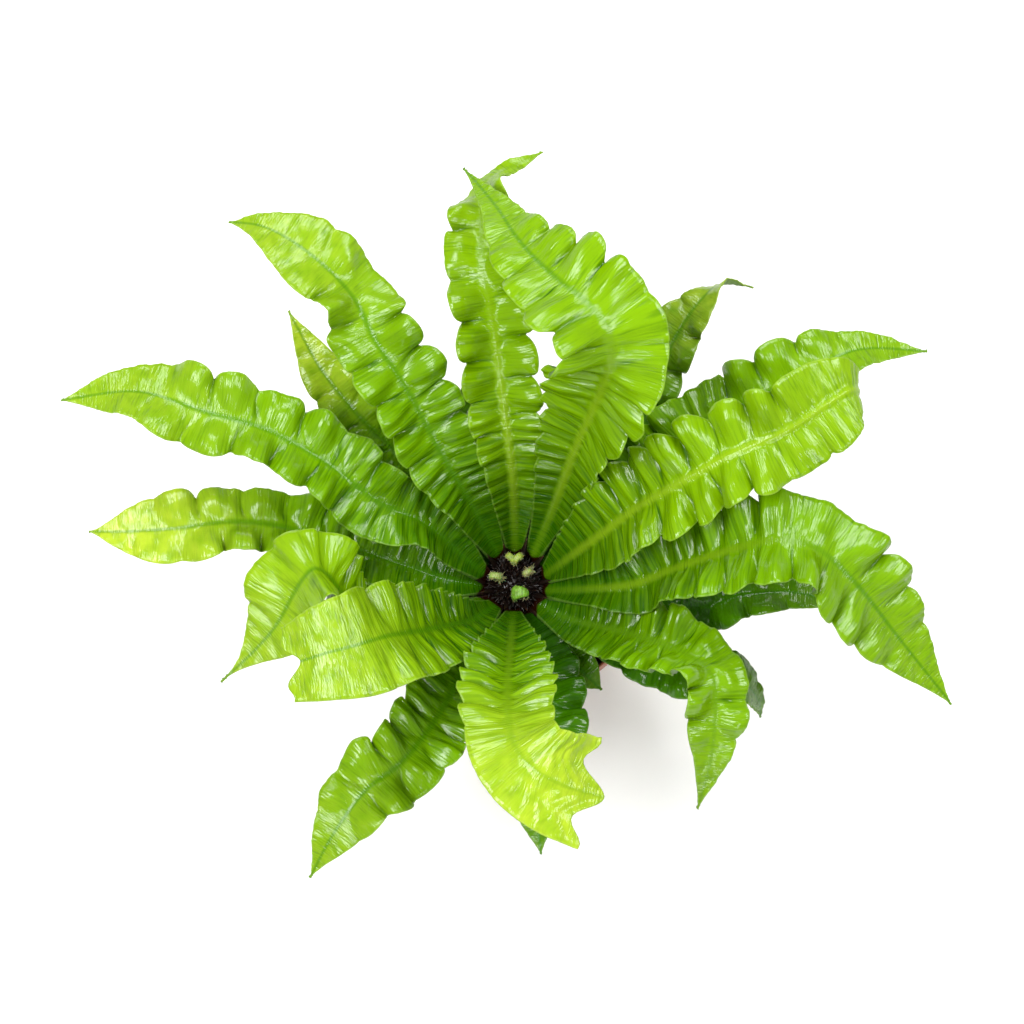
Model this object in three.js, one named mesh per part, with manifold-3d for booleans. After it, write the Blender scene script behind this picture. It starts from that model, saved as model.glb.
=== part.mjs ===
// Crispy wave fern: a bird's nest fern whose strap fronds are folded into pillow-like waves,
// growing from one scaly crown in a 12 cm nursery pot.
// Millimetres, +Z up. The origin is the middle of the pot's flat base.
import * as THREE from 'three';
import { mergeVertices } from 'three/addons/utils/BufferGeometryUtils.js';
import Module from 'manifold-3d';

const wasm = await Module();
wasm.setup();

// Driving dimensions of the pot and what it holds
const POT_HEIGHT = 106;
const RIM_RADIUS = 60;
const RIM_BAND = 13;
const RIM_PROUD = 2;
const BASE_RADIUS = 43;
const POT_WALL = 1.4;
const POT_FLOOR = 2;
const DRAIN_HOLES = 6;
const DRAIN_RADIUS = 4;
const DRAIN_RING = 29;
const SOIL_LEVEL = 92.4;
const GAP = 0.35;

// The crown stands a little off the middle of the pot, and the fronds are laid out round it. Its
// top falls off to the outside.
const CROWN = new THREE.Vector3(-12, 0, 110);
const CROWN_RADIUS = 14.5;
const CROWN_DEPTH = 29;
const CROWN_FALL = 3.4;
const CROZIER_SEAT = 3;
const SCALE_COUNT = 64;
const SCALE_LENGTH = 5.5;
const SCALE_WIDTH = 2.2;

// Thickness of a blade at its margin, at its midrib, and of the stalk where it leaves the crown
const MARGIN_THICK = 0.8;
const MIDRIB_THICK = 1.7;
const STALK_THICK = 2.7;
const STALK_HALF_WIDTH = 2.7;

// Folds longer than this get the frond's number of rows, and shorter ones get two
const FINE_PITCH = 18;

// What most fronds share. Folds: how far one lifts the margin, their pitch near the crown and near
// the tip, where they start, how far the right side's are behind the left side's, how much they
// scallop the outline, how they slant to the tip, between which shares of the length they fade, and
// the rows of points that a long one gets. Outline: where the strap has opened, where it starts to
// taper, how blunt it is, how far it draws out into a tail and what share of its width is left at
// the tip. Section: how steeply the blade channels near the crown, and how far it leans out of a
// bend. Crest: how far the tip forks into three points. Roll: degrees that the blade turns about
// its midrib at even steps along it, with the right side down.
const TYPICAL = {
  width: 42,
  open: 0.34,
  taper: 0.7,
  blunt: 1.9,
  tail: 1.4,
  end: 0,
  fold: 6,
  pitch: [14, 27],
  shift: 0.5,
  stagger: 0.5,
  scallop: 0.18,
  slant: 0.06,
  calm: [0.68, 0.9],
  channel: 0.42,
  lean: 36,
  crest: 0,
  roll: [0, 0],
  rows: 4,
};

// Greens of the blades, from the sunlit ones on top to the shaded ones below
const LIME = '#8fcf1c';
const LEAF = '#69b512';
const SHADE = '#3f8a14';

// Each midrib runs through points of [mm out from the crown, heading in degrees, mm above it].
// Heading 0 is +X and 90 is +Y. The first point is the stalk's seat beside the crown.
const FRONDS = [
  {
    name: 'frond_west_upper',
    midrib: [[15.3, 171, -6.3], [31, 160, 14], [54, 156, 40], [80, 158, 58], [112, 155, 74],
      [146, 155, 86], [178, 157, 92], [215, 158, 92], [254, 162, 84]],
    width: 41,
    open: 0.38,
    taper: 0.78,
    pitch: [17, 29],
    shift: 0.35,
    stagger: 0.25,
    color: LEAF,
  },
  {
    name: 'frond_west_lower',
    midrib: [[14.9, 186, -11.3], [40, 180, 5], [60, 176, 15], [86, 173, 26], [105, 172, 34],
      [126, 171, 41], [152, 172, 48], [185, 175, 52], [214, 176, 50], [231, 176, 46]],
    width: 37,
    taper: 0.8,
    pitch: [13, 28],
    shift: 0.01,
    color: LEAF,
  },
  {
    name: 'frond_southwest_arched',
    midrib: [[14.9, 216, -12.8], [42, 206, -2], [62, 201, 9], [80, 198, 25], [90, 196, 46],
      [95, 193, 67], [100, 189, 81], [106, 188, 88], [112, 190, 86], [119, 193, 80],
      [132, 198, 69], [149, 201, 58], [170, 203, 46]],
    width: 60,
    open: 0.9,
    taper: 0.7,
    blunt: 1.6,
    tail: 2.2,
    fold: 2.5,
    scallop: 0.05,
    lean: 5,
    roll: [0, 0, 0, 25, 38, 26, 12, 0, 0],
    color: LIME,
  },
  {
    name: 'frond_southwest_broad',
    midrib: [[14.9, 232, -6.3], [36, 231, 26], [53, 228, 62], [70, 225, 96], [87, 222, 124],
      [102, 220, 138], [117, 217, 141], [132, 214, 133]],
    width: 54,
    open: 0.75,
    taper: 0.74,
    blunt: 2.4,
    end: 0.7,
    fold: 2.5,
    scallop: 0.04,
    crest: -3.5,
    rows: 2,
    color: LIME,
  },
  {
    name: 'frond_south_southwest',
    midrib: [[14.9, 245, -11.3], [43, 243, 6], [64, 244, 26], [101, 244, 50], [129, 242, 65],
      [149, 239, 71], [176, 238, 66], [201, 238, 50]],
    width: 40,
    fold: 5,
    pitch: [12, 24],
    shift: 0.91,
    stagger: 0,
    color: LEAF,
  },
  {
    name: 'frond_south_crested',
    midrib: [[14.9, 267, -6.3], [34, 267, 24], [54, 267, 58], [76, 267, 92], [99, 268, 126],
      [117, 270, 143], [129, 274, 148], [137, 279, 145], [144, 285, 136]],
    width: 44,
    open: 0.58,
    taper: 0.72,
    end: 1.25,
    pitch: [14, 20],
    shift: 0.32,
    calm: [0.6, 0.75],
    lean: 8,
    crest: 7,
    color: LIME,
  },
  {
    name: 'frond_south_lower',
    midrib: [[14.9, 287, -11.3], [47, 288, 10], [75, 285, 26], [101, 281, 37], [124, 276, 40],
      [139, 275, 36], [156, 275, 24]],
    width: 34,
    rows: 2,
    color: SHADE,
  },
  {
    name: 'frond_rim_curled',
    midrib: [[14.2, 308.5, -14.8], [34, 306, -9.5], [50, 305, -3.5], [66, 306, 1], [78, 308, -5]],
    width: 20,
    fold: 2,
    rows: 2,
    color: SHADE,
  },
  {
    name: 'frond_southeast',
    midrib: [[15.1, 309, -6.3], [40, 322, 10], [60, 326, 28], [86, 328, 53], [111, 328, 69],
      [124, 326, 74], [134, 321, 69], [150, 313, 54], [164, 306, 34]],
    width: 38,
    taper: 0.56,
    blunt: 2.2,
    pitch: [12, 24],
    color: LEAF,
  },
  {
    name: 'frond_southeast_lower',
    midrib: [[15.1, 334, -12.2], [40, 327, 1], [62, 326, 9], [93, 328, 15], [121, 332, 19],
      [138, 334, 14], [150, 333, 2], [156, 331, -13]],
    width: 30,
    open: 0.6,
    lean: 50,
    rows: 2,
    color: SHADE,
  },
  {
    name: 'frond_east_lower',
    midrib: [[15.5, 1, -11.3], [50, 347, 12], [77, 345, 25], [103, 347, 36], [122, 351, 44],
      [146, 353, 48], [166, 353, 46], [188, 353, 41]],
    width: 28,
    open: 0.6,
    taper: 0.62,
    rows: 2,
    color: SHADE,
  },
  {
    name: 'frond_east_drooping',
    midrib: [[14.9, 342, -6.3], [40, 345, 22], [65, 348, 48], [86, 353, 73], [112, 356, 101],
      [133, 357, 117], [152, 356, 118], [173, 352, 107], [206, 346, 78], [244, 341, 50]],
    width: 50,
    open: 0.55,
    pitch: [15, 25],
    shift: 0.75,
    stagger: 0,
    lean: 40,
    roll: [0, -8, 4, 0],
    color: LEAF,
  },
  {
    name: 'frond_northeast_lower',
    midrib: [[14.9, 10, -6.3], [32, 13, 28], [50, 15, 59], [70, 17, 87], [88, 17, 107],
      [115, 18, 127], [143, 18, 138], [167, 20, 143], [182, 21, 142], [188, 21, 133],
      [183, 21, 124]],
    width: 48,
    open: 0.44,
    taper: 0.82,
    blunt: 2.4,
    pitch: [15, 21],
    shift: 0.22,
    calm: [0.72, 0.86],
    roll: [0, 0, 0, 0, 0, 5, 22, 22],
    color: LIME,
  },
  {
    name: 'frond_northeast_upper',
    midrib: [[14.9, 32, -11.3], [49, 33, 28], [86, 33, 58], [123, 34, 80], [148, 31, 93],
      [178, 30, 102], [206, 29, 104], [241, 25, 96]],
    width: 40,
    pitch: [10, 30],
    shift: 0.59,
    color: LEAF,
  },
  {
    name: 'frond_back_twisted',
    midrib: [[15.8, 72, -12.2], [56, 51, 14], [87, 51, 42], [121, 52, 68], [145, 53, 86],
      [163, 53, 94], [180, 52, 92], [192, 48, 84]],
    width: 28,
    roll: [0, 0, 0, 0, -10, -60],
    rows: 2,
    color: SHADE,
  },
  {
    name: 'frond_north_hooked',
    midrib: [[14.9, 55, -6.3], [37, 57, 32], [61, 58, 88], [77, 56, 142], [87, 57, 170],
      [95, 61, 181], [103, 70, 184], [113, 79, 178], [128, 86, 167], [143, 90, 157],
      [162, 93, 145], [182, 96, 132], [198, 98, 120]],
    width: 56,
    open: 0.58,
    taper: 0.58,
    blunt: 1.6,
    fold: 4.5,
    scallop: 0.22,
    pitch: [14, 27],
    lean: 16,
    color: LIME,
  },
  {
    name: 'frond_north',
    midrib: [[14.9, 90, -6.3], [33, 91, 24], [48, 92, 50], [83, 95, 88], [117, 96, 110],
      [144, 97, 118], [168, 96, 118], [192, 94, 112], [213, 86, 104]],
    width: 37,
    open: 0.42,
    pitch: [14, 30],
    shift: 0.42,
    calm: [0.76, 0.92],
    color: LIME,
  },
  {
    name: 'frond_north_lower',
    midrib: [[14.6, 106, -12.8], [38, 104, 8], [71, 103, 38], [94, 102, 56], [115, 101, 64]],
    width: 28,
    rows: 2,
    color: SHADE,
  },
  {
    name: 'frond_northwest',
    midrib: [[14.9, 124, -6.3], [42, 125, 33], [64, 126, 61], [100, 125, 91], [129, 125, 104],
      [153, 124, 112], [181, 126, 120], [209, 129, 120], [227, 132, 112]],
    width: 42,
    open: 0.4,
    taper: 0.78,
    pitch: [13, 29],
    shift: 0.11,
    stagger: 0.33,
    color: LEAF,
  },
  {
    name: 'frond_northwest_lower',
    midrib: [[14.9, 146, -11.3], [58, 138, 12], [90, 135, 28], [121, 136, 42], [150, 135, 52],
      [174, 133, 58], [186, 132, 58]],
    width: 27,
    color: LEAF,
  },
];

// Young fronds in the middle of the crown, as plump rolls on short stems: mm out from the middle
// and heading of the foot, height of the stem, radius of the roll, headings it rolls towards, and
// its breadth against its thickness
const CROZIERS = [
  { foot: [9.5, 92], stem: 3.5, roll: 3, curls: [42, 138] },
  { foot: [8.5, 178], stem: 3.5, roll: 3, curls: [172] },
  { foot: [9, 268], stem: 3.4, roll: 4, curls: [0], broad: 2 },
  { foot: [9.5, 28], stem: 2, roll: 2.2, curls: [215] },
];

const clamp01 = (x) => Math.min(1, Math.max(0, x));
const smooth = (a, b, x) => {
  const q = clamp01((x - a) / (b - a));
  return q * q * (3 - 2 * q);
};

// A point given by distance, heading and height from the crown
function fromCrown([out, heading, up]) {
  const turn = THREE.MathUtils.degToRad(heading);
  return new THREE.Vector3(out * Math.cos(turn), out * Math.sin(turn), up).add(CROWN);
}

// Joins rings of points, each with the same even number, into a closed geometry. The second
// half of a ring is split into triangles as the first half is, so both faces of a blade match.
// The first and the last ring are closed by strips from edge to edge.
function skin(rings) {
  const positions = rings.flat().flatMap((p) => [p.x, p.y, p.z]);
  const index = [];
  const count = rings[0].length;
  const across = count / 2 - 1;
  const quad = (a, b, c, d) => index.push(a, b, c, a, c, d);
  for (let i = 0; i + 1 < rings.length; i++) {
    for (let j = 0; j < count; j++) {
      const k = (j + 1) % count;
      const a = i * count + j;
      const b = i * count + k;
      const mirrored = j >= across;
      if (mirrored) quad(a + count, a, b, b + count);
      else quad(a, b, b + count, a + count);
    }
  }
  const last = (rings.length - 1) * count;
  for (let j = 0; j < across; j++) {
    const under = count - 1 - j;
    quad(j + 1, j, under, under - 1);
    quad(last + j, last + j + 1, last + under - 1, last + under);
  }
  const geometry = new THREE.BufferGeometry();
  geometry.setAttribute('position', new THREE.Float32BufferAttribute(positions, 3));
  geometry.setIndex(index);
  return geometry;
}

// Half the blade's width at the fraction s of its length: a narrow stalk that opens into a
// strap, and a tip that draws to a point
function halfWidth(frond, s) {
  const open = smooth(-0.01, frond.open, s) ** 0.85;
  const q = clamp01((s - frond.taper) / (1 - frond.taper));
  const strap = STALK_HALF_WIDTH + (frond.width / 2 - STALK_HALF_WIDTH) * open;
  const left = frond.end + (1 - frond.end) * (1 - q ** frond.blunt) ** frond.tail;
  return Math.max(0.9, strap * left);
}

// Number of folds passed at t mm along the midrib, as their pitch grows towards the tip
function foldsPassed(frond, t, length) {
  const [first, last] = frond.pitch;
  const growth = (last - first) / length;
  return Math.log(1 + (growth * t) / first) / growth + frond.shift;
}

// A fold's height: 1 on its broad crest, half a turn past the narrow valley at -1
function pillow(turns) {
  return 1 - 2 * Math.cos(Math.PI * turns) ** 4;
}

// The midrib with the directions along it, across the blade and out of its upper face.
// The upper face looks up and leans to the outside where the frond turns or arches over.
function midribFrame(frond, curve, length, t) {
  const at = (x) => curve.getPointAt(clamp01(x / length));
  const tangentAt = (x) => at(x + 2).sub(at(x - 2)).normalize();
  const origin = at(t);
  const along = tangentAt(t);
  const reach = 12;
  const turning = tangentAt(Math.min(length, t + reach))
    .sub(tangentAt(Math.max(0, t - reach)))
    .divideScalar(2 * reach);
  const bend = turning.clone();
  bend.z = Math.min(0, bend.z);
  const face = new THREE.Vector3(0, 0, 1).addScaledVector(bend, -frond.lean);
  face.addScaledVector(along, -face.dot(along)).normalize();
  const across = along.clone().cross(face);
  const place = (t / length) * (frond.roll.length - 1);
  const step = Math.min(frond.roll.length - 2, Math.floor(place));
  const part = smooth(0, 1, place - step);
  const degrees = frond.roll[step] * (1 - part) + frond.roll[step + 1] * part;
  const turn = THREE.MathUtils.degToRad(degrees);
  face.applyAxisAngle(along, turn);
  across.applyAxisAngle(along, turn);
  return { origin, along, across, face, sideways: turning.dot(across) };
}

// A point of the blade's upper face: t mm along the midrib, u from -1 to 1 across it
function bladePoint(frond, frame, length, t, u) {
  const s = t / length;
  const half = halfWidth(frond, s);
  const side = Math.abs(u);
  const turns = foldsPassed(frond, t, length) + (u > 0 ? frond.stagger : 0);
  const stretch = -u * half * frame.sideways;
  const strength = smooth(0.08, 0.58, s) * (1 - 0.9 * smooth(...frond.calm, s))
    * (1 - 0.85 * smooth(0.02, 0.15, stretch));
  const fold = pillow(turns) * strength * clamp01((side - 0.1) / 0.9) ** 1.2;
  const channel = frond.channel * (1 - 0.85 * smooth(0.1, 0.9, s));
  const spread = half * u * (1 + frond.scallop * fold);
  const points = Math.cos(2 * Math.PI * u) - 1.6 * side ** 2;
  const forked = frond.crest * points * smooth(0.82, 1, s);
  const forward = frond.slant * half * side + forked;
  const lift = channel * half * side ** 1.5 + fold * frond.fold * Math.min(1, half / 16);
  return frame.origin
    .clone()
    .addScaledVector(frame.across, spread)
    .addScaledVector(frame.along, forward)
    .addScaledVector(frame.face, lift);
}

// Rows of the blade: one on each crest and in each valley where the folds are short, and as many
// to a fold as the frond has where they are long
function rowPlaces(frond, length) {
  const rows = [0, 5, 12];
  const end = length - 3;
  let turns = foldsPassed(frond, 12, length);
  for (let t = 12; t < end - 1; t += 0.1) {
    const passed = foldsPassed(frond, t, length);
    const pitch = frond.pitch[0] + ((frond.pitch[1] - frond.pitch[0]) * t) / length;
    const perFold = pitch > FINE_PITCH ? frond.rows : 2;
    const next = Math.ceil(perFold * turns + 0.4) / perFold;
    if (passed < next) continue;
    rows.push(t);
    turns = passed;
  }
  rows.push(end, length);
  return rows;
}

const ACROSS = [-1, -0.55, 0, 0.55, 1];

function frondGeometry(shape) {
  const frond = { ...TYPICAL, ...shape };
  const curve = new THREE.CatmullRomCurve3(frond.midrib.map(fromCrown), false, 'centripetal');
  curve.arcLengthDivisions = 400;
  const length = curve.getLength();
  const rows = rowPlaces(frond, length);
  const top = rows.map((t) => {
    const frame = midribFrame(frond, curve, length, t);
    return ACROSS.map((u) => bladePoint(frond, frame, length, t, u));
  });
  const rings = top.map((row, i) => {
    const s = rows[i] / length;
    const before = top[Math.max(0, i - 1)];
    const after = top[Math.min(top.length - 1, i + 1)];
    const under = row.map((point, j) => {
      const along = after[j].clone().sub(before[j]);
      const across = row[Math.min(row.length - 1, j + 1)].clone().sub(row[Math.max(0, j - 1)]);
      const normal = across.cross(along).normalize();
      const blade = j === 2 ? MIDRIB_THICK * (1 - 0.35 * s) : MARGIN_THICK;
      const thick = blade + (STALK_THICK - blade) * (1 - smooth(0, 0.16, s));
      return point.clone().addScaledVector(normal, -thick);
    });
    return [...row, ...under.reverse()];
  });
  return skin(rings);
}

// A geometry as a manifold-3d solid, and the way back
function toSolid(geometry) {
  const bare = new THREE.BufferGeometry();
  bare.setAttribute('position', geometry.getAttribute('position').clone());
  if (geometry.index) bare.setIndex(geometry.index.clone());
  const merged = mergeVertices(bare, 1e-4);
  const mesh = new wasm.Mesh({
    numProp: 3,
    vertProperties: new Float32Array(merged.attributes.position.array),
    triVerts: new Uint32Array(merged.index.array),
  });
  return new wasm.Manifold(mesh);
}

function fromSolid(solid) {
  const mesh = solid.getMesh();
  const geometry = new THREE.BufferGeometry();
  geometry.setAttribute('position', new THREE.BufferAttribute(mesh.vertProperties, 3));
  geometry.setIndex(new THREE.BufferAttribute(mesh.triVerts, 1));
  return geometry;
}

// A turned shape, from [radius, height] pairs that start and end on the axis
function turned(profile, segments) {
  const outline = profile.map(([r, z]) => new THREE.Vector2(r, z));
  return new THREE.LatheGeometry(outline, segments).rotateX(Math.PI / 2);
}

// Thin-walled tapered pot with a deeper band round the rim and drain holes in its floor
function potGeometry() {
  const bandFoot = POT_HEIGHT - RIM_BAND;
  const wallTop = RIM_RADIUS - RIM_PROUD;
  const insideFoot = BASE_RADIUS - POT_WALL;
  const pot = toSolid(turned([
    [0, 0],
    [BASE_RADIUS - 1, 0],
    [BASE_RADIUS, 1.5],
    [wallTop, bandFoot],
    [RIM_RADIUS, bandFoot],
    [RIM_RADIUS, POT_HEIGHT],
    [RIM_RADIUS - POT_WALL, POT_HEIGHT],
    [RIM_RADIUS - POT_WALL - 0.4, bandFoot + POT_WALL],
    [wallTop - POT_WALL, bandFoot],
    [insideFoot, POT_FLOOR],
    [0, POT_FLOOR],
  ], 40));
  let holed = pot;
  for (let i = 0; i < DRAIN_HOLES; i++) {
    const turn = (2 * Math.PI * i) / DRAIN_HOLES;
    const drill = new THREE.CylinderGeometry(DRAIN_RADIUS, DRAIN_RADIUS, 3 * POT_FLOOR, 12)
      .rotateX(Math.PI / 2)
      .translate(DRAIN_RING * Math.cos(turn), DRAIN_RING * Math.sin(turn), 0);
    holed = holed.subtract(toSolid(drill));
  }
  return fromSolid(holed);
}

// The crown's outline: a dome above the soil that narrows to a rootstock in it
function crownProfile(extra) {
  const r = CROWN_RADIUS + extra;
  const top = CROWN.z;
  return [
    [0, top - CROWN_DEPTH - extra],
    [0.55 * r, top - CROWN_DEPTH - extra],
    [0.9 * r, top - 17],
    [r, top - 11],
    [r, top - 6.5],
    [0.84 * r, top - 3 + extra],
    [0.5 * r, top - 0.8 + extra],
    [0, top + extra],
  ];
}

// Potting soil, slightly heaped towards the crown, with a plain hole that the crown stands in
function soilGeometry() {
  const slope = (BASE_RADIUS - RIM_RADIUS + RIM_PROUD) / (POT_HEIGHT - RIM_BAND - 1.5);
  const inside = (z) => BASE_RADIUS - slope * (z - 1.5) - POT_WALL - 2 * GAP;
  const soil = toSolid(turned([
    [0, POT_FLOOR + GAP],
    [inside(POT_FLOOR + GAP), POT_FLOOR + GAP],
    [inside(SOIL_LEVEL - 3), SOIL_LEVEL - 3],
    [0.75 * RIM_RADIUS, SOIL_LEVEL - 1.5],
    [0.4 * RIM_RADIUS, SOIL_LEVEL],
    [0, SOIL_LEVEL],
  ], 32));
  const seat = turned(crownProfile(GAP), 20).translate(CROWN.x, CROWN.y, 0);
  return fromSolid(soil.subtract(toSolid(seat)));
}

// A pointed scale that lies on the crown, as a slim pyramid
function scaleGeometry() {
  const scale = new THREE.ConeGeometry(SCALE_WIDTH / 2, SCALE_LENGTH, 4);
  return scale.translate(0, SCALE_LENGTH / 2 - 1, 0).scale(1, 1, 0.6);
}

// The crown with dark scales placed on a sunflower spiral, each tilted outwards
function crownGeometry() {
  let crown = toSolid(turned(crownProfile(0), 20).translate(CROWN.x, CROWN.y, 0));
  const goldenTurn = Math.PI * (3 - Math.sqrt(5));
  const spread = 0.74 * CROWN_RADIUS;
  for (let i = 0; i < SCALE_COUNT; i++) {
    const out = spread * Math.sqrt((i + 0.5) / SCALE_COUNT);
    const turn = i * goldenTurn;
    const height = CROWN.z - 0.9 - CROWN_FALL * (out / CROWN_RADIUS) ** 3;
    const tilt = 0.35 + 0.75 * (out / spread) + 0.2 * Math.sin(5 * i);
    const scale = scaleGeometry()
      .rotateX(Math.PI / 2)
      .rotateY(tilt)
      .rotateZ(turn)
      .translate(CROWN.x + out * Math.cos(turn), CROWN.y + out * Math.sin(turn), height);
    crown = crown.add(toSolid(scale));
  }
  return fromSolid(crown);
}

// One roll of a crozier: a short stem that rises from the crown and coils over
function rollGeometry({ foot: [out, heading], stem, roll, broad = 1.3 }, curl) {
  const foot = fromCrown([out, heading, CROZIER_SEAT - CROWN_FALL * (out / CROWN_RADIUS) ** 3]);
  const turn = THREE.MathUtils.degToRad(curl);
  const forth = new THREE.Vector3(Math.cos(turn), Math.sin(turn), 0);
  const side = new THREE.Vector3(-forth.y, forth.x, 0);
  const steps = 10;
  const stemSteps = 2;
  const sides = 6;
  const rings = [];
  for (let i = 0; i <= steps; i++) {
    const q = Math.max(0, i - stemSteps) / (steps - stemSteps);
    const angle = 1.5 * Math.PI * q;
    const radius = roll * (1 - 0.6 * q);
    const thick = roll * (0.5 - 0.1 * q);
    const centre = foot.clone().addScaledVector(forth, roll - radius * Math.cos(angle));
    centre.z += stem * Math.min(1, i / stemSteps) + radius * Math.sin(angle);
    const inward = forth.clone().multiplyScalar(-Math.cos(angle));
    inward.z = Math.sin(angle);
    rings.push(Array.from({ length: sides }, (_, j) => {
      const a = (2 * Math.PI * j) / sides;
      return centre
        .clone()
        .addScaledVector(side, broad * thick * Math.cos(a))
        .addScaledVector(inward, thick * Math.sin(a));
    }));
  }
  return skin(rings);
}

// A crozier: one roll, or two that share a foot
function crozierGeometry(crozier) {
  const rolls = crozier.curls.map((curl) => toSolid(rollGeometry(crozier, curl)));
  return fromSolid(rolls.reduce((sum, next) => sum.add(next)));
}

const group = new THREE.Group();

function place(name, geometry, color, roughness) {
  const material = new THREE.MeshStandardMaterial({ color, roughness, metalness: 0 });
  material.name = name;
  const mesh = new THREE.Mesh(geometry, material);
  mesh.name = name;
  group.add(mesh);
}

place('nursery_pot', potGeometry(), '#9c5a45', 0.6);
place('potting_soil', soilGeometry(), '#3a2a20', 1);
place('crown_rootstock', crownGeometry(), '#24120b', 0.7);
CROZIERS.forEach((crozier, i) => {
  place('crozier_' + (i + 1), crozierGeometry(crozier), '#a9b84a', 0.5);
});
FRONDS.forEach((frond) => place(frond.name, frondGeometry(frond), frond.color, 0.35));

export default group;
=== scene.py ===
# Crispy wave fern: a bird's nest fern whose strap fronds are folded into waves, in its nursery pot.
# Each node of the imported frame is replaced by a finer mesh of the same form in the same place, with
# veins, midribs, scales, hairs, crumbs of soil and moulded plastic.
import math

import bpy
import numpy as np
from bpy.props import FloatProperty, FloatVectorProperty, IntProperty, PointerProperty
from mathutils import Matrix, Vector, noise


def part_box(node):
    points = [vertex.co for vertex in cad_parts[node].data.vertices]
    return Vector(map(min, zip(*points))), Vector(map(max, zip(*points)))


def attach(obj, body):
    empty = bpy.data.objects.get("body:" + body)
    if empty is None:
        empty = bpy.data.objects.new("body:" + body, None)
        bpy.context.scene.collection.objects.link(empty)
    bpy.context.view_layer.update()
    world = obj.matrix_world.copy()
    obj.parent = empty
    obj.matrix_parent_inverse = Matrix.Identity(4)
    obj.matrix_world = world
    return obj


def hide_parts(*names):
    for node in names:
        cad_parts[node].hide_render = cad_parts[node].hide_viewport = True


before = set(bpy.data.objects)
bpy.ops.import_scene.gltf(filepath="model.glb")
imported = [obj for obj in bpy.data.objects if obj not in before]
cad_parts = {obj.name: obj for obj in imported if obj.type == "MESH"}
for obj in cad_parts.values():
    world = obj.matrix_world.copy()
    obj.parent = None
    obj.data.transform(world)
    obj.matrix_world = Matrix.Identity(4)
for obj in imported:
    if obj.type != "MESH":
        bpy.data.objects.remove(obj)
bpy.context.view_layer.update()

bl_info = {
    "name": "Crispy Wave Fern",
    "version": (1, 0, 0),
    "blender": (4, 5, 0),
    "location": "3D View > Sidebar > Fern",
    "description": "Builds a potted bird's nest fern with waved strap fronds",
    "category": "Add Mesh",
}

MM = 0.001
SEED = 41


def linear(hex_colour):
    """An sRGB hex colour as the linear RGB that Blender's sockets take."""
    parts = [int(hex_colour[i:i + 2], 16) / 255 for i in (1, 3, 5)]
    return tuple(c / 12.92 if c <= 0.04045 else ((c + 0.055) / 1.055) ** 2.4 for c in parts)


def length_prop(label, note, metres, low=0.0):
    """A length that a user can change."""
    return FloatProperty(name=label, description=note, default=metres, min=low, unit="LENGTH")


def colour_prop(label, note, hex_colour):
    """A colour that a user can change."""
    return FloatVectorProperty(name=label, description=note, default=linear(hex_colour),
                               min=0.0, max=1.0, size=3, subtype="COLOR")


# The crown in mm: the middle of its top, from which the fronds are laid out, its radius and depth,
# and how far its top has fallen at the edge
CROWN = np.array([-12.0, 0.0, 110.0])
CROWN_RADIUS = 14.5
CROWN_DEPTH = 29.0
CROWN_FALL = 3.4

# Heights in mm. From the crown's top: over the first are the upper fronds' seats, and at the second
# are the croziers' feet. From the pot's base: the middle of the soil.
UPPER_SEAT = -7
CROZIER_SEAT = 3.0
SOIL_LEVEL = 92.4

# The sizes that all blades share, in mm: how thick they are, half their width at the stalk and the
# tip and where the folds and the midrib come to their full height, and how wide the crimp is
MARGIN_THICK = 0.8
MIDRIB_THICK = 1.7
STALK_THICK = 2.7
STALK_HALF_WIDTH = 2.7
TIP_HALF_WIDTH = 0.35
FOLD_HALF_WIDTH = 16
RIB_HALF_WIDTH = 8
CRIMP_WIDTH = 1.6

# What most fronds share. Lengths are in mm and angles in degrees, and places along a frond are
# shares of its length.
TYPICAL = {
    # Outline: the width, where the strap has opened and where it tapers, how blunt it is, how long
    # drawn its tail is and what is left of the width at the tip
    "width": 42, "open": 0.34, "taper": 0.7, "blunt": 1.9, "tail": 1.4, "end": 0,
    # Folds: how far one lifts the margin, their pitch near the crown and near the tip, where they
    # start, how far the right side's are behind, how they scallop and slant the outline, and where
    # they fade
    "fold": 6, "pitch": (14, 27), "shift": 0.5, "stagger": 0.5, "scallop": 0.18, "slant": 0.06,
    "calm": (0.68, 0.9),
    # Section: how it channels, leans out of a bend, forks at its end and rolls about its midrib
    "channel": 0.42, "lean": 36, "crest": 0, "roll": (0, 0),
    # Colour: which green the blade has, where lime is painted light on the blades on top and shade is
    # painted shade on the blades under the others, how light the midrib is near the crown and at the
    # tip, how pale the blade's end is, partly its own yellower tip and partly painted light, and
    # where the blade has its full green, with a darker green before it that is partly its own and
    # partly painted shade by the crown
    "finish": "leaf", "rib": (0.1, 0), "pale": 0.2, "full": 0.62,
}

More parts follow.
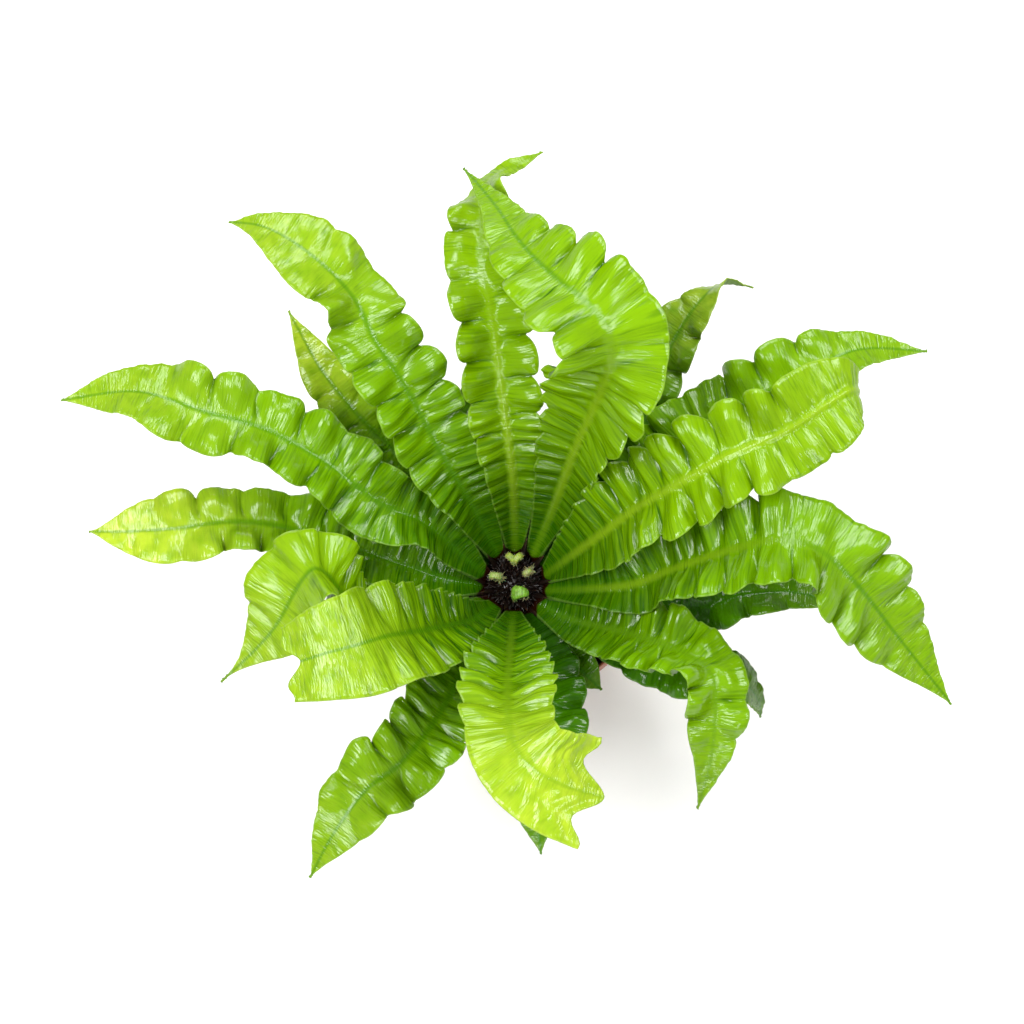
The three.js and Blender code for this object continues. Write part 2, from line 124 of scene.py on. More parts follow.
# Each midrib runs through points of (mm out from the crown's middle, heading in degrees, mm above
# its top). Heading 0 is +X and 90 is +Y. The first point is the stalk's seat beside the crown.
FRONDS = {
    "frond_west_upper": {
        "midrib": ((15.3, 171, -6.3), (31, 160, 14), (54, 156, 40), (80, 158, 58), (112, 155, 74),
                   (146, 155, 86), (178, 157, 92), (215, 158, 92), (254, 162, 84)),
        "width": 41, "open": 0.38, "taper": 0.78, "pitch": (17, 29), "shift": 0.35,
        "stagger": 0.25, "pale": 0.5},
    "frond_west_lower": {
        "midrib": ((14.9, 186, -11.3), (40, 180, 5), (60, 176, 15), (86, 173, 26), (105, 172, 34),
                   (126, 171, 41), (152, 172, 48), (185, 175, 52), (214, 176, 50), (231, 176, 46)),
        "width": 37, "taper": 0.8, "pitch": (13, 28), "shift": 0.01, "pale": 1.3},
    "frond_southwest_arched": {
        "midrib": ((14.9, 216, -12.8), (42, 206, -2), (62, 201, 9), (80, 198, 25), (90, 196, 46),
                   (95, 193, 67), (100, 189, 81), (106, 188, 88), (112, 190, 86), (119, 193, 80),
                   (132, 198, 69), (149, 201, 58), (170, 203, 46)),
        "width": 60, "open": 0.9, "blunt": 1.6, "tail": 2.2, "fold": 2.5,
        "scallop": 0.05, "lean": 5, "roll": (0, 0, 0, 25, 38, 26, 12, 0, 0), "finish": "lime",
        "rib": (0, 0), "pale": 0.6},
    "frond_southwest_broad": {
        "midrib": ((14.9, 232, -6.3), (36, 231, 26), (53, 228, 62), (70, 225, 96), (87, 222, 124),
                   (102, 220, 138), (117, 217, 141), (132, 214, 133)),
        "width": 54, "open": 0.75, "taper": 0.74, "blunt": 2.4, "end": 0.7, "fold": 2.5,
        "scallop": 0.04, "crest": -3.5, "finish": "lime", "pale": 0.5, "full": 1.1},
    "frond_south_southwest": {
        "midrib": ((14.9, 245, -11.3), (43, 243, 6), (64, 244, 26), (101, 244, 50), (129, 242, 65),
                   (149, 239, 71), (176, 238, 66), (201, 238, 50)),
        "width": 40, "fold": 5, "pitch": (12, 24), "shift": 0.91, "stagger": 0,
        "pale": 0.4},
    "frond_south_crested": {
        "midrib": ((14.9, 267, -6.3), (34, 267, 24), (54, 267, 58), (76, 267, 92), (99, 268, 126),
                   (117, 270, 143), (129, 274, 148), (137, 279, 145), (144, 285, 136)),
        "width": 44, "open": 0.58, "taper": 0.72, "end": 1.25, "pitch": (14, 20), "shift": 0.32,
        "calm": (0.6, 0.75), "lean": 8, "crest": 7, "finish": "lime",
        "rib": (0.5, 0.6), "pale": 0.95, "full": 0.9},
    "frond_south_lower": {
        "midrib": ((14.9, 287, -11.3), (47, 288, 10), (75, 285, 26), (101, 281, 37),
                   (124, 276, 40), (139, 275, 36), (156, 275, 24)),
        "width": 34, "finish": "shade"},
    "frond_rim_curled": {
        "midrib": ((14.2, 308.5, -14.8), (34, 306, -9.5), (50, 305, -3.5), (66, 306, 1),
                   (78, 308, -5)),
        "width": 20, "fold": 2, "finish": "shade"},
    "frond_southeast": {
        "midrib": ((15.1, 309, -6.3), (40, 322, 10), (60, 326, 28), (86, 328, 53), (111, 328, 69),
                   (124, 326, 74), (134, 321, 69), (150, 313, 54), (164, 306, 34)),
        "width": 38, "taper": 0.56, "blunt": 2.2, "pitch": (12, 24), "rib": (0.3, 0.3)},
    "frond_southeast_lower": {
        "midrib": ((15.1, 334, -12.2), (40, 327, 1), (62, 326, 9), (93, 328, 15), (121, 332, 19),
                   (138, 334, 14), (150, 333, 2), (156, 331, -13)),
        "width": 30, "open": 0.6, "lean": 50, "finish": "shade"},
    "frond_east_lower": {
        "midrib": ((15.5, 1, -11.3), (50, 347, 12), (77, 345, 25), (103, 347, 36), (122, 351, 44),
                   (146, 353, 48), (166, 353, 46), (188, 353, 41)),
        "width": 28, "open": 0.6, "taper": 0.62, "finish": "shade"},
    "frond_east_drooping": {
        "midrib": ((14.9, 342, -6.3), (40, 345, 22), (65, 348, 48), (86, 353, 73), (112, 356, 101),
                   (133, 357, 117), (152, 356, 118), (173, 352, 107), (206, 346, 78),
                   (244, 341, 50)),
        "width": 50, "open": 0.55, "pitch": (15, 25), "shift": 0.75, "stagger": 0, "lean": 40,
        "roll": (0, -8, 4, 0), "rib": (0.8, 0)},
    "frond_northeast_lower": {
        "midrib": ((14.9, 10, -6.3), (32, 13, 28), (50, 15, 59), (70, 17, 87), (88, 17, 107),
                   (115, 18, 127), (143, 18, 138), (167, 20, 143), (182, 21, 142), (188, 21, 133),
                   (183, 21, 124)),
        "width": 48, "open": 0.44, "taper": 0.82, "blunt": 2.4, "pitch": (15, 21), "shift": 0.22,
        "calm": (0.72, 0.86), "roll": (0, 0, 0, 0, 0, 5, 22, 22), "finish": "lime",
        "rib": (1, 1)},
    "frond_northeast_upper": {
        "midrib": ((14.9, 32, -11.3), (49, 33, 28), (86, 33, 58), (123, 34, 80), (148, 31, 93),
                   (178, 30, 102), (206, 29, 104), (241, 25, 96)),
        "width": 40, "pitch": (10, 30), "shift": 0.59},
    "frond_back_twisted": {
        "midrib": ((15.8, 72, -12.2), (56, 51, 14), (87, 51, 42), (121, 52, 68), (145, 53, 86),
                   (163, 53, 94), (180, 52, 92), (192, 48, 84)),
        "width": 28, "roll": (0, 0, 0, 0, -10, -60), "finish": "shade", "pale": 0.8},
    "frond_north_hooked": {
        "midrib": ((14.9, 55, -6.3), (37, 57, 32), (61, 58, 88), (77, 56, 142), (87, 57, 170),
                   (95, 61, 181), (103, 70, 184), (113, 79, 178), (128, 86, 167), (143, 90, 157),
                   (162, 93, 145), (182, 96, 132), (198, 98, 120)),
        "width": 56, "open": 0.58, "taper": 0.58, "blunt": 1.6, "fold": 4.5, "scallop": 0.22,
        "lean": 16, "finish": "lime", "rib": (1, 0), "pale": 0, "full": 0.5},
    "frond_north": {
        "midrib": ((14.9, 90, -6.3), (33, 91, 24), (48, 92, 50), (83, 95, 88), (117, 96, 110),
                   (144, 97, 118), (168, 96, 118), (192, 94, 112), (213, 86, 104)),
        "width": 37, "open": 0.42, "pitch": (14, 30), "shift": 0.42, "calm": (0.76, 0.92),
        "finish": "lime", "rib": (1, 0.5), "full": 0.5},
    "frond_north_lower": {
        "midrib": ((14.6, 106, -12.8), (38, 104, 8), (71, 103, 38), (94, 102, 56), (115, 101, 64)),
        "width": 28, "finish": "shade"},
    "frond_northwest": {
        "midrib": ((14.9, 124, -6.3), (42, 125, 33), (64, 126, 61), (100, 125, 91),
                   (129, 125, 104), (153, 124, 112), (181, 126, 120), (209, 129, 120),
                   (227, 132, 112)),
        "open": 0.4, "taper": 0.78, "pitch": (13, 29), "shift": 0.11, "stagger": 0.33,
        "pale": 0.6, "full": 0.55},
    "frond_northwest_lower": {
        "midrib": ((14.9, 146, -11.3), (58, 138, 12), (90, 135, 28), (121, 136, 42),
                   (150, 135, 52), (174, 133, 58), (186, 132, 58)),
        "width": 27, "pale": 1.2},
}

# Young fronds as plump rolls on short stems: mm out from the middle and heading of the foot, height
# of the stem, radius of the roll, headings it rolls towards, how many times as broad as it is deep,
# how downy it is and how yellow
CROZIERS = {
    "crozier_1": {"foot": (9.5, 92), "stem": 3.5, "roll": 3, "curls": (42, 138), "broad": 1.3,
                  "down": 0.3, "yellow": 0.8},
    "crozier_2": {"foot": (8.5, 178), "stem": 3.5, "roll": 3, "curls": (172,), "broad": 1.3,
                  "down": 0.8, "yellow": 0.35},
    "crozier_3": {"foot": (9, 268), "stem": 3.4, "roll": 4, "curls": (0,), "broad": 2,
                  "down": 0.12, "yellow": 0.2},
    "crozier_4": {"foot": (9.5, 28), "stem": 2, "roll": 2.2, "curls": (215,), "broad": 1.3,
                  "down": 1.0, "yellow": 0.5},
}

# The soft lights, each with its place and size in m and its power in W
SOFTBOXES = {
    "key_softbox": ((-0.75, -0.2, 1.6), 0.75, 29),
    "side_softbox": ((0.95, 0.1, 1.4), 0.65, 16),
    "back_softbox": ((-0.1, 1.1, 1.4), 0.75, 18),
    "front_softbox": ((0.15, -1.4, 1.0), 0.5, 10),
}

# The camera's place in m, and its tilt from straight down in degrees
CAMERA_PLACE = (-0.01367, -0.2998, 1.3755)
CAMERA_TILT = 15


class FernBladeSettings(bpy.types.PropertyGroup):
    """The waved blades: how fine their mesh is, and their greens."""

    row_step: length_prop("Row step", "Distance between rows of the mesh along a midrib",
                          0.8 * MM, 0.2 * MM)
    columns: IntProperty(name="Columns", description="Columns of the mesh on each side of a midrib",
                         default=14, min=4, max=40)
    ripple: length_prop("Ripple", "Height of the fine ripples near the crown", 0.8 * MM)
    vein_spacing: length_prop("Vein spacing", "Distance between the fine side veins", 1.6 * MM)
    # Painted light and shade: the lime green is the leaf green as lit on the blades on top, and the
    # shaded green is painted shade on the blades that lie under the others
    lime: colour_prop("Lime green", "The blades on top, in full light", "#7EAC00")
    leaf: colour_prop("Leaf green", "Most of the blades", "#72A400")
    shade: colour_prop("Shaded green", "The blades that lie under the others", "#447E00")
    # Painted shade: the deep green is partly the blade's own darker base and partly painted shade by
    # the crown and down in the folds
    deep: colour_prop("Deep green", "Near the crown and down in the folds", "#265E00")
    # Painted light: the sunlit green is partly the ends' own yellower tone and partly painted light
    # where they catch it
    sunlit: colour_prop("Sunlit green", "The pale ends of the blades", "#B4CC30")
    midrib: colour_prop("Midrib", "The rib where it is lighter than the blade", "#9CBE20")
    groove: colour_prop("Midrib groove", "The rib where it is darker than the blade", "#367A00")
    # Painted highlight: the rim colour is a bright line painted along the blade's edge
    rim: colour_prop("Rim", "The thin bright edge of a blade", "#C0D860")
    beneath: colour_prop("Underside", "The matt back of a blade", "#64883E")
    through: colour_prop("Light through", "What tints the light through a blade", "#FFFF50")
    stalk: colour_prop("Stalk", "The dark foot of a frond", "#2A1006")


class FernCrownSettings(bpy.types.PropertyGroup):
    """The crown with its scales, and the young fronds rolled up in it."""

    scale_count: IntProperty(name="Scales", description="Number of scales on the crown",
                             default=560, min=20, max=2000)
    scale_length: length_prop("Scale length", "Length of a typical scale", 4.2 * MM)
    wedge_length: length_prop("Outer scale length", "Length of the scales between the stalks",
                              16 * MM)
    scale_colour: colour_prop("Scales", "The papery scales", "#140805")
    scale_tip: colour_prop("Scale tips", "Where a scale is thin and dry", "#4E2A14")
    crozier_green: colour_prop("Crozier green", "The greener young growth", "#62A620")
    crozier_yellow: colour_prop("Crozier yellow", "The yellower young growth", "#A6B63E")
    crozier_shade: colour_prop("Crozier shade", "Darker patches of young growth", "#3D5A12")
    down_colour: colour_prop("Down", "Pale hairs on the young growth", "#BDAE84")


class FernPotSettings(bpy.types.PropertyGroup):
    """The nursery pot and the soil in it."""

    rim_radius: length_prop("Rim radius", "Outer radius of the pot at its rim", 60 * MM)
    height: length_prop("Height", "Height of the pot", 106 * MM)
    pot_colour: colour_prop("Pot", "The pot's plastic", "#8E4A2E")
    pot_dust: colour_prop("Pot dust", "What pales the plastic where it is rubbed", "#C9A48E")
    soil_colour: colour_prop("Soil", "Damp peat and bark", "#35241A")
    soil_shade: colour_prop("Soil shade", "The wetter grains of the soil", "#140C08")


class FernStageSettings(bpy.types.PropertyGroup):
    """The floor, the lights and the camera."""

    floor_size: length_prop("Floor", "Width of the floor", 14.0)
    floor_colour: colour_prop("Floor colour", "The plain pale floor", "#F4F4F2")
    lens: FloatProperty(name="Lens", description="Focal length of the camera on a 36 mm sensor",
                        default=81.9, min=10, max=400, unit="CAMERA")
    sky_strength: FloatProperty(name="Sky", description="Strength of the even light all round",
                                default=0.25, min=0)


def clamp01(x):
    return np.clip(x, 0.0, 1.0)


def smooth(a, b, x):
    q = clamp01((np.asarray(x, float) - a) / (b - a))
    return q * q * (3 - 2 * q)


def unit(v):
    return v / np.linalg.norm(v, axis=-1, keepdims=True)


def level(turn):
    """The level unit vector at an angle in radians."""
    return np.array([math.cos(turn), math.sin(turn), 0.0])


def leaning(lean, turn):
    """The unit vector that leans from upright by one angle towards another, both in radians."""
    return math.sin(lean) * level(turn) + (0.0, 0.0, math.cos(lean))


def from_crown(out, heading, up):
    """A point given by distance in mm, heading in degrees and height in mm from the crown."""
    return CROWN + out * level(math.radians(heading)) + (0.0, 0.0, up)


class Curve:
    """A centripetal Catmull-Rom curve through points, measured along its length in mm."""

    def __init__(self, points, divisions=400):
        before = 2 * points[0] - points[1]
        after = 2 * points[-1] - points[-2]
        self.points = np.vstack([before, points, after])
        self.spans = len(points) - 1
        places = np.linspace(0, 1, divisions + 1)
        steps = np.linalg.norm(np.diff(self.at_share(places), axis=0), axis=1)
        self.passed = np.concatenate([[0], np.cumsum(steps)])
        self.places = places
        self.length = self.passed[-1]

    def at_share(self, share):
        """The points at a share of the spans between the given points."""
        place = np.clip(share, 0, 1) * self.spans
        span = np.minimum(place.astype(int), self.spans - 1)
        w = (place - span)[:, None]
        p0, p1, p2, p3 = (self.points[span + i] for i in range(4))
        d0, d1, d2 = (np.sqrt(np.linalg.norm(b - a, axis=1))[:, None]
                      for a, b in ((p0, p1), (p1, p2), (p2, p3)))
        m1 = ((p1 - p0) / d0 - (p2 - p0) / (d0 + d1) + (p2 - p1) / d1) * d1
        m2 = ((p2 - p1) / d1 - (p3 - p1) / (d1 + d2) + (p3 - p2) / d2) * d1
        return (p1 + m1 * w + (-3 * p1 + 3 * p2 - 2 * m1 - m2) * w ** 2
                + (2 * p1 - 2 * p2 + m1 + m2) * w ** 3)

    def at(self, distance):
        """The points at a distance along the curve."""
        return self.at_share(np.interp(distance, self.passed, self.places))

    def tangent(self, distance):
        """The unit directions along the curve."""
        return unit(self.at(distance + 2) - self.at(distance - 2))


def midrib_frame(frond, curve, t):
    """The midrib's points, the directions along it, across the blade and out of its face, and how
    sharply it turns to the right."""
    reach = 12
    along = curve.tangent(t)
    turning = (curve.tangent(np.minimum(curve.length, t + reach))
               - curve.tangent(np.maximum(0, t - reach))) / (2 * reach)
    bend = turning.copy()
    bend[:, 2] = np.minimum(0, bend[:, 2])
    face = np.array([0.0, 0.0, 1.0]) - frond["lean"] * bend
    face = unit(face - (face * along).sum(1)[:, None] * along)
    across = np.cross(along, face)
    roll = np.array(frond["roll"], float)
    place = t / curve.length * (len(roll) - 1)
    step = np.minimum(len(roll) - 2, place.astype(int))
    part = smooth(0, 1, place - step)
    turn = np.radians(roll[step] * (1 - part) + roll[step + 1] * part)[:, None]
    turned_face = face * np.cos(turn) + np.cross(along, face) * np.sin(turn)
    turned_across = across * np.cos(turn) + np.cross(along, across) * np.sin(turn)
    return curve.at(t), along, turned_across, turned_face, (turning * turned_across).sum(1)


def half_width(frond, s):
    """Half the blade's width: a narrow stalk that opens into a strap and draws to a point."""
    opened = smooth(-0.01, frond["open"], s) ** 0.62
    q = clamp01((s - frond["taper"]) / (1 - frond["taper"]))
    strap = STALK_HALF_WIDTH + (frond["width"] / 2 - STALK_HALF_WIDTH) * opened
    left = frond["end"] + (1 - frond["end"]) * (1 - q ** frond["blunt"]) ** frond["tail"]
    return np.maximum(TIP_HALF_WIDTH, strap * left)


def folds_passed(frond, t, length):
    """Number of folds passed at t mm along the midrib, as their pitch grows to the tip."""
    first, last = frond["pitch"]
    growth = (last - first) / length
    return np.log(1 + growth * t / first) / growth + frond["shift"]


def pillow(turns):
    """A fold's height: 1 on its broad crest, half a turn past the sharp valley at -1."""
    return 2 * np.abs(np.sin(np.pi * turns)) ** 0.8 - 1


def rib_tone(frond, s):
    """How light and cord-like the midrib is: 0 for a dark groove, 1 for a light cord."""
    near, far = frond["rib"]
    return near + (far - near) * smooth(0.35, 0.75, s)


def blade_surface(frond, curve, t, u, ripple, seed):
    """The blade's upper face on a grid of t mm along the midrib by u from -1 to 1 across it.

    Gives the points, how high each lies in its fold from -1 to 1, the mm from the midrib, less than
    0 on the left, and from the margin, and how many mm along the midrib its side vein starts.
    """
    origin, along, across, face, sideways = midrib_frame(frond, curve, t)
    t, u = t[:, None], u[None, :]
    s = t / curve.length
    half = half_width(frond, s)
    side = np.abs(u)
    right = u > 0

    # The folds are weak by the crown and at the calm end, and stretched flat outside a bend
    turns = folds_passed(frond, t, curve.length) + frond["stagger"] * right
    first, last = frond["pitch"]
    pitch = first + (last - first) * s
    stretch = -u * half * sideways[:, None]
    strength = (smooth(0.08, 0.58, s) * (1 - 0.9 * smooth(*frond["calm"], s))
                * (1 - 0.85 * smooth(0.02, 0.15, stretch)))
    each = 1 + 0.13 * np.sin(2.1 * turns + 3.1 * right + seed)
    puff = pillow(turns + 0.03 * np.sin(6 * side + seed))
    lie = puff * strength
    dome = 1.05 * smooth(0.02, 0.72, side) - 0.2 * smooth(0.75, 1.05, side)
    fold = puff * each * strength * np.where(puff > 0, dome, smooth(0.04, 1, side))

    # Across, along and out of the face: the scalloped width, the slant with the forked end, and
    # the channel with the folds, which are lower where the blade is narrow
    spread = half * u * (1 + 0.85 * frond["scallop"] * each * lie * side)
    fork = np.cos(2 * np.pi * u) - 1.6 * side ** 2
    forked = frond["crest"] * fork * smooth(0.82, 1, s)
    swell = -0.07 * pitch * np.sin(2 * np.pi * turns) * strength * side ** 2
    forward = frond["slant"] * half * side + forked + swell
    channel = frond["channel"] * (1 - 0.85 * smooth(0.1, 0.9, s))
    height = np.minimum(1, half / FOLD_HALF_WIDTH)
    lift = channel * half * side ** 1.5 + fold * frond["fold"] * height
    from_rib = half * side
    to_edge = half * (1 - side)

    # Cross ripples near the crown, two to a fold, and shallow ones over the whole blade
    fine = smooth(0.05, 0.28, s) * (1 - 0.7 * smooth(0.4, 0.75, s)) * smooth(0.6, 5, from_rib)
    wander = 0.06 * np.sin(5 * u + seed) + 0.3 * np.sin(0.11 * t + seed)
    lift += ripple * fine * np.sin(2 * np.pi * (2 * turns + wander)) * (1 + 0.4 * side)
    plain = 1 - (frond["crest"] != 0) * smooth(0.78, 0.92, s)
    lift += (0.2 * ripple * plain * smooth(1, 8, from_rib)
             * np.sin(2 * np.pi * (3.3 * turns - 2 * wander)))

    # The midrib, a cord between two grooves or itself a groove, and the crimped margin
    rib = np.minimum(1, half / RIB_HALF_WIDTH)
    cord = rib_tone(frond, s)
    lift += rib * ((0.65 * cord - 0.12) * np.exp(-(from_rib / 1.4) ** 2)
                   - 0.3 * cord * np.exp(-((from_rib - 3.2) / 1.3) ** 2))
    crimp = np.exp(-(to_edge / CRIMP_WIDTH) ** 2) * smooth(0.1, 0.45, s)
    lift += crimp * (0.15 * np.sin(t * 1.9 + seed + 2 * right) + 0.2 * np.sin(t * 0.83 + 2 * seed))
    points = (origin[:, None, :] + across[:, None, :] * spread[..., None]
              + along[:, None, :] * forward[..., None] + face[:, None, :] * lift[..., None])
    return points, lie, from_rib * np.sign(u), to_edge, t + forked * (1 + 0.5 * side)


def grid_normals(points):
    """Unit normals of a grid of points, out of the face that looks up."""
    along = np.gradient(points, axis=0)
    across = np.gradient(points, axis=1)
    return unit(np.cross(across, along))


def ring_quads(rings, count):
    """Quads between rings of count points each, the last point joined to the first."""
    i, j = np.meshgrid(np.arange(rings - 1), np.arange(count), indexing="ij")
    k = (j + 1) % count
    return np.stack([i * count + j, i * count + k, (i + 1) * count + k, (i + 1) * count + j],
                    -1).reshape(-1, 4)


def mesh_object(name, points, faces, values=None):
    """A smooth-shaded object at the origin. points are in mm, faces is a list of index arrays of
    one width each, and values are named numbers per vertex for the material to read."""
    mesh = bpy.data.meshes.new(name)
    points = np.asarray(points, np.float32).reshape(-1, 3) * MM
    loops = np.concatenate([f.ravel() for f in faces]).astype(np.int32)
    sizes = np.concatenate([np.full(len(f), f.shape[1]) for f in faces])
    starts = np.concatenate([[0], np.cumsum(sizes)[:-1]]).astype(np.int32)
    mesh.vertices.add(len(points))
    mesh.vertices.foreach_set("co", points.ravel())
    mesh.loops.add(len(loops))
    mesh.loops.foreach_set("vertex_index", loops)
    mesh.polygons.add(len(starts))
    mesh.polygons.foreach_set("loop_start", starts)
    for key, value in (values or {}).items():
        value = np.asarray(value, np.float32)
        kind = "FLOAT_VECTOR" if value.ndim == 2 else "FLOAT"
        attribute = mesh.attributes.new(key, kind, "POINT")
        attribute.data.foreach_set("vector" if value.ndim == 2 else "value", value.ravel())
    mesh.update(calc_edges=True)
    mesh.validate()
    mesh.shade_smooth()
    thing = bpy.data.objects.new(name, mesh)
    bpy.context.scene.collection.objects.link(thing)
    return thing


def dress(thing, node, material):
    """Puts a piece in a CAD node's place and its material."""
    thing.data.materials.append(material)
    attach(thing, "root")
    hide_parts(node)


def add(tree, kind, settings=None, **links):
    """Adds a node with its settings, and links or sets its inputs by name. An input is given as
    the socket that feeds it or as a value; a name such as i1 is the input of that number."""
    node = tree.nodes.new(kind)
    for key, value in (settings or {}).items():
        setattr(node, key, value)
    for key, value in links.items():
        number = key[1:].isdigit() and key[0] == "i"
        socket = node.inputs[int(key[1:])] if number else node.inputs[key.replace("_", " ")]
        if isinstance(value, bpy.types.NodeSocket):
            tree.links.new(value, socket)
        else:
            socket.default_value = value
    return node


RGBA = {"data_type": "RGBA"}
MULTIPLY = {"operation": "MULTIPLY"}
MULTIPLY_ADD = {"operation": "MULTIPLY_ADD"}
CLAMP = {"use_clamp": True}


def new_material(name):
    """An empty node material and its tree."""
    material = bpy.data.materials.new(name)
    material.use_nodes = True
    material.node_tree.nodes.clear()
    return material, material.node_tree


def blade_lamina(name, top, blades):
    """A living blade: a waxy cuticle over soft green tissue that lets some light through.

    The eye sees a clear gloss broken into streaks by the side veins, and a yellower green where the
    light comes through."""
    material, tree = new_material(name)
    blade, lie, tone = (add(tree, "ShaderNodeAttribute", {"attribute_name": key}).outputs["Vector"]
                        for key in ("blade", "lie", "tone"))
    from_rib, _, streaked = add(tree, "ShaderNodeSeparateXYZ", Vector=blade).outputs
    cord, to_edge, beneath = add(tree, "ShaderNodeSeparateXYZ", Vector=lie).outputs
    depth_and_shade, pale, foot = add(tree, "ShaderNodeSeparateXYZ", Vector=tone).outputs
    veins = MM / blades.vein_spacing

    # The side veins, broad patches of lighter growth and the grain of the cells are noise drawn
    # out across the blade, given by how fast it changes across, how fast along, and its detail
    streak, patch, grain = (
        add(tree, "ShaderNodeTexNoise", Scale=1.0, Detail=detail, Vector=add(
            tree, "ShaderNodeVectorMath", MULTIPLY, i0=blade, i1=(across, along * veins, 0.0)
        ).outputs["Vector"]).outputs["Fac"]
        for across, along, detail in ((0.06, 1.4, 1.0), (0.07, 0.25, 2.0), (0.12, 2.2, 2.0)))

    # Deep green by the crown and in the folds, full green on the crests and outwards. The deep green
    # by the crown is partly the blade's own and partly painted shade, the deep green in the folds is
    # painted shade, and the lighter crests are painted light
    depth_and_shade = add(tree, "ShaderNodeMath", MULTIPLY_ADD, i0=streak, i1=streaked, i2=depth_and_shade).outputs[0]
    depth_and_shade = add(tree, "ShaderNodeMath", MULTIPLY_ADD | CLAMP, i0=patch, i1=0.7,
                i2=depth_and_shade).outputs[0]
    green = add(tree, "ShaderNodeMix", RGBA, Factor=depth_and_shade, i6=(*blades.deep, 1),
                i7=(*top, 1)).outputs[2]
    # Painted light: the pale ends are partly their own yellower tone and partly painted light
    pale = add(tree, "ShaderNodeMath", MULTIPLY | CLAMP, i0=pale, i1=patch).outputs[0]

    # The midrib is a lighter cord on some fronds and a darker groove on the others
    cord = add(tree, "ShaderNodeMix", RGBA, Factor=cord, i6=(*blades.groove, 1),
               i7=(*blades.midrib, 1)).outputs[2]
    middle = add(tree, "ShaderNodeMath", {"operation": "ABSOLUTE"}, i0=from_rib).outputs[0]
    middle = add(tree, "ShaderNodeMapRange", {"interpolation_type": "SMOOTHSTEP"}, Value=middle,
                 From_Min=0.3, From_Max=2.8, To_Min=0.54, To_Max=0.0).outputs["Result"]
    rim = add(tree, "ShaderNodeMapRange", Value=to_edge, From_Min=0.0, From_Max=0.7, To_Min=1.0,
              To_Max=0.0).outputs["Result"]
    # Painted highlight: a thin bright line along the rim
    rim_highlight = add(tree, "ShaderNodeMath", MULTIPLY, i0=rim, i1=0.1).outputs[0]
    ragged = add(tree, "ShaderNodeMath", MULTIPLY_ADD, i0=patch, i1=0.8, i2=foot).outputs[0]
    foot = add(tree, "ShaderNodeMapRange", Value=ragged, From_Min=0.75,
               From_Max=1.05).outputs["Result"]
    for share, colour in ((pale, (*blades.sunlit, 1)), (middle, cord), (rim_highlight, (*blades.rim, 1)),
                          (beneath, (*blades.beneath, 1)), (foot, (*blades.stalk, 1))):
        green = add(tree, "ShaderNodeMix", RGBA, Factor=share, i6=green, i7=colour).outputs[2]

    # The veins stand a little proud over the grain, and the back and the rim are matter
    height = add(tree, "ShaderNodeMath", MULTIPLY_ADD, i0=grain, i1=0.5, i2=streak).outputs[0]
    bump = add(tree, "ShaderNodeBump", Strength=1.0, Distance=0.00042, Height=height)
    gloss = add(tree, "ShaderNodeMath", MULTIPLY_ADD, i0=beneath, i1=0.45, i2=0.16).outputs[0]
    gloss = add(tree, "ShaderNodeMath", MULTIPLY_ADD, i0=rim, i1=0.4, i2=gloss).outputs[0]
    skin = add(tree, "ShaderNodeBsdfPrincipled", Base_Color=green, Roughness=gloss, IOR=1.48,
               Normal=bump.outputs["Normal"])
    glow = add(tree, "ShaderNodeMix", RGBA | {"blend_type": "MULTIPLY"}, Factor=1.0, i6=green,
               i7=(*blades.through, 1)).outputs[2]
    through = add(tree, "ShaderNodeBsdfTranslucent", Color=glow)
    both = add(tree, "ShaderNodeMixShader", i0=0.3, i1=skin.outputs[0], i2=through.outputs[0])
    add(tree, "ShaderNodeOutputMaterial", Surface=both.outputs[0])
    return material


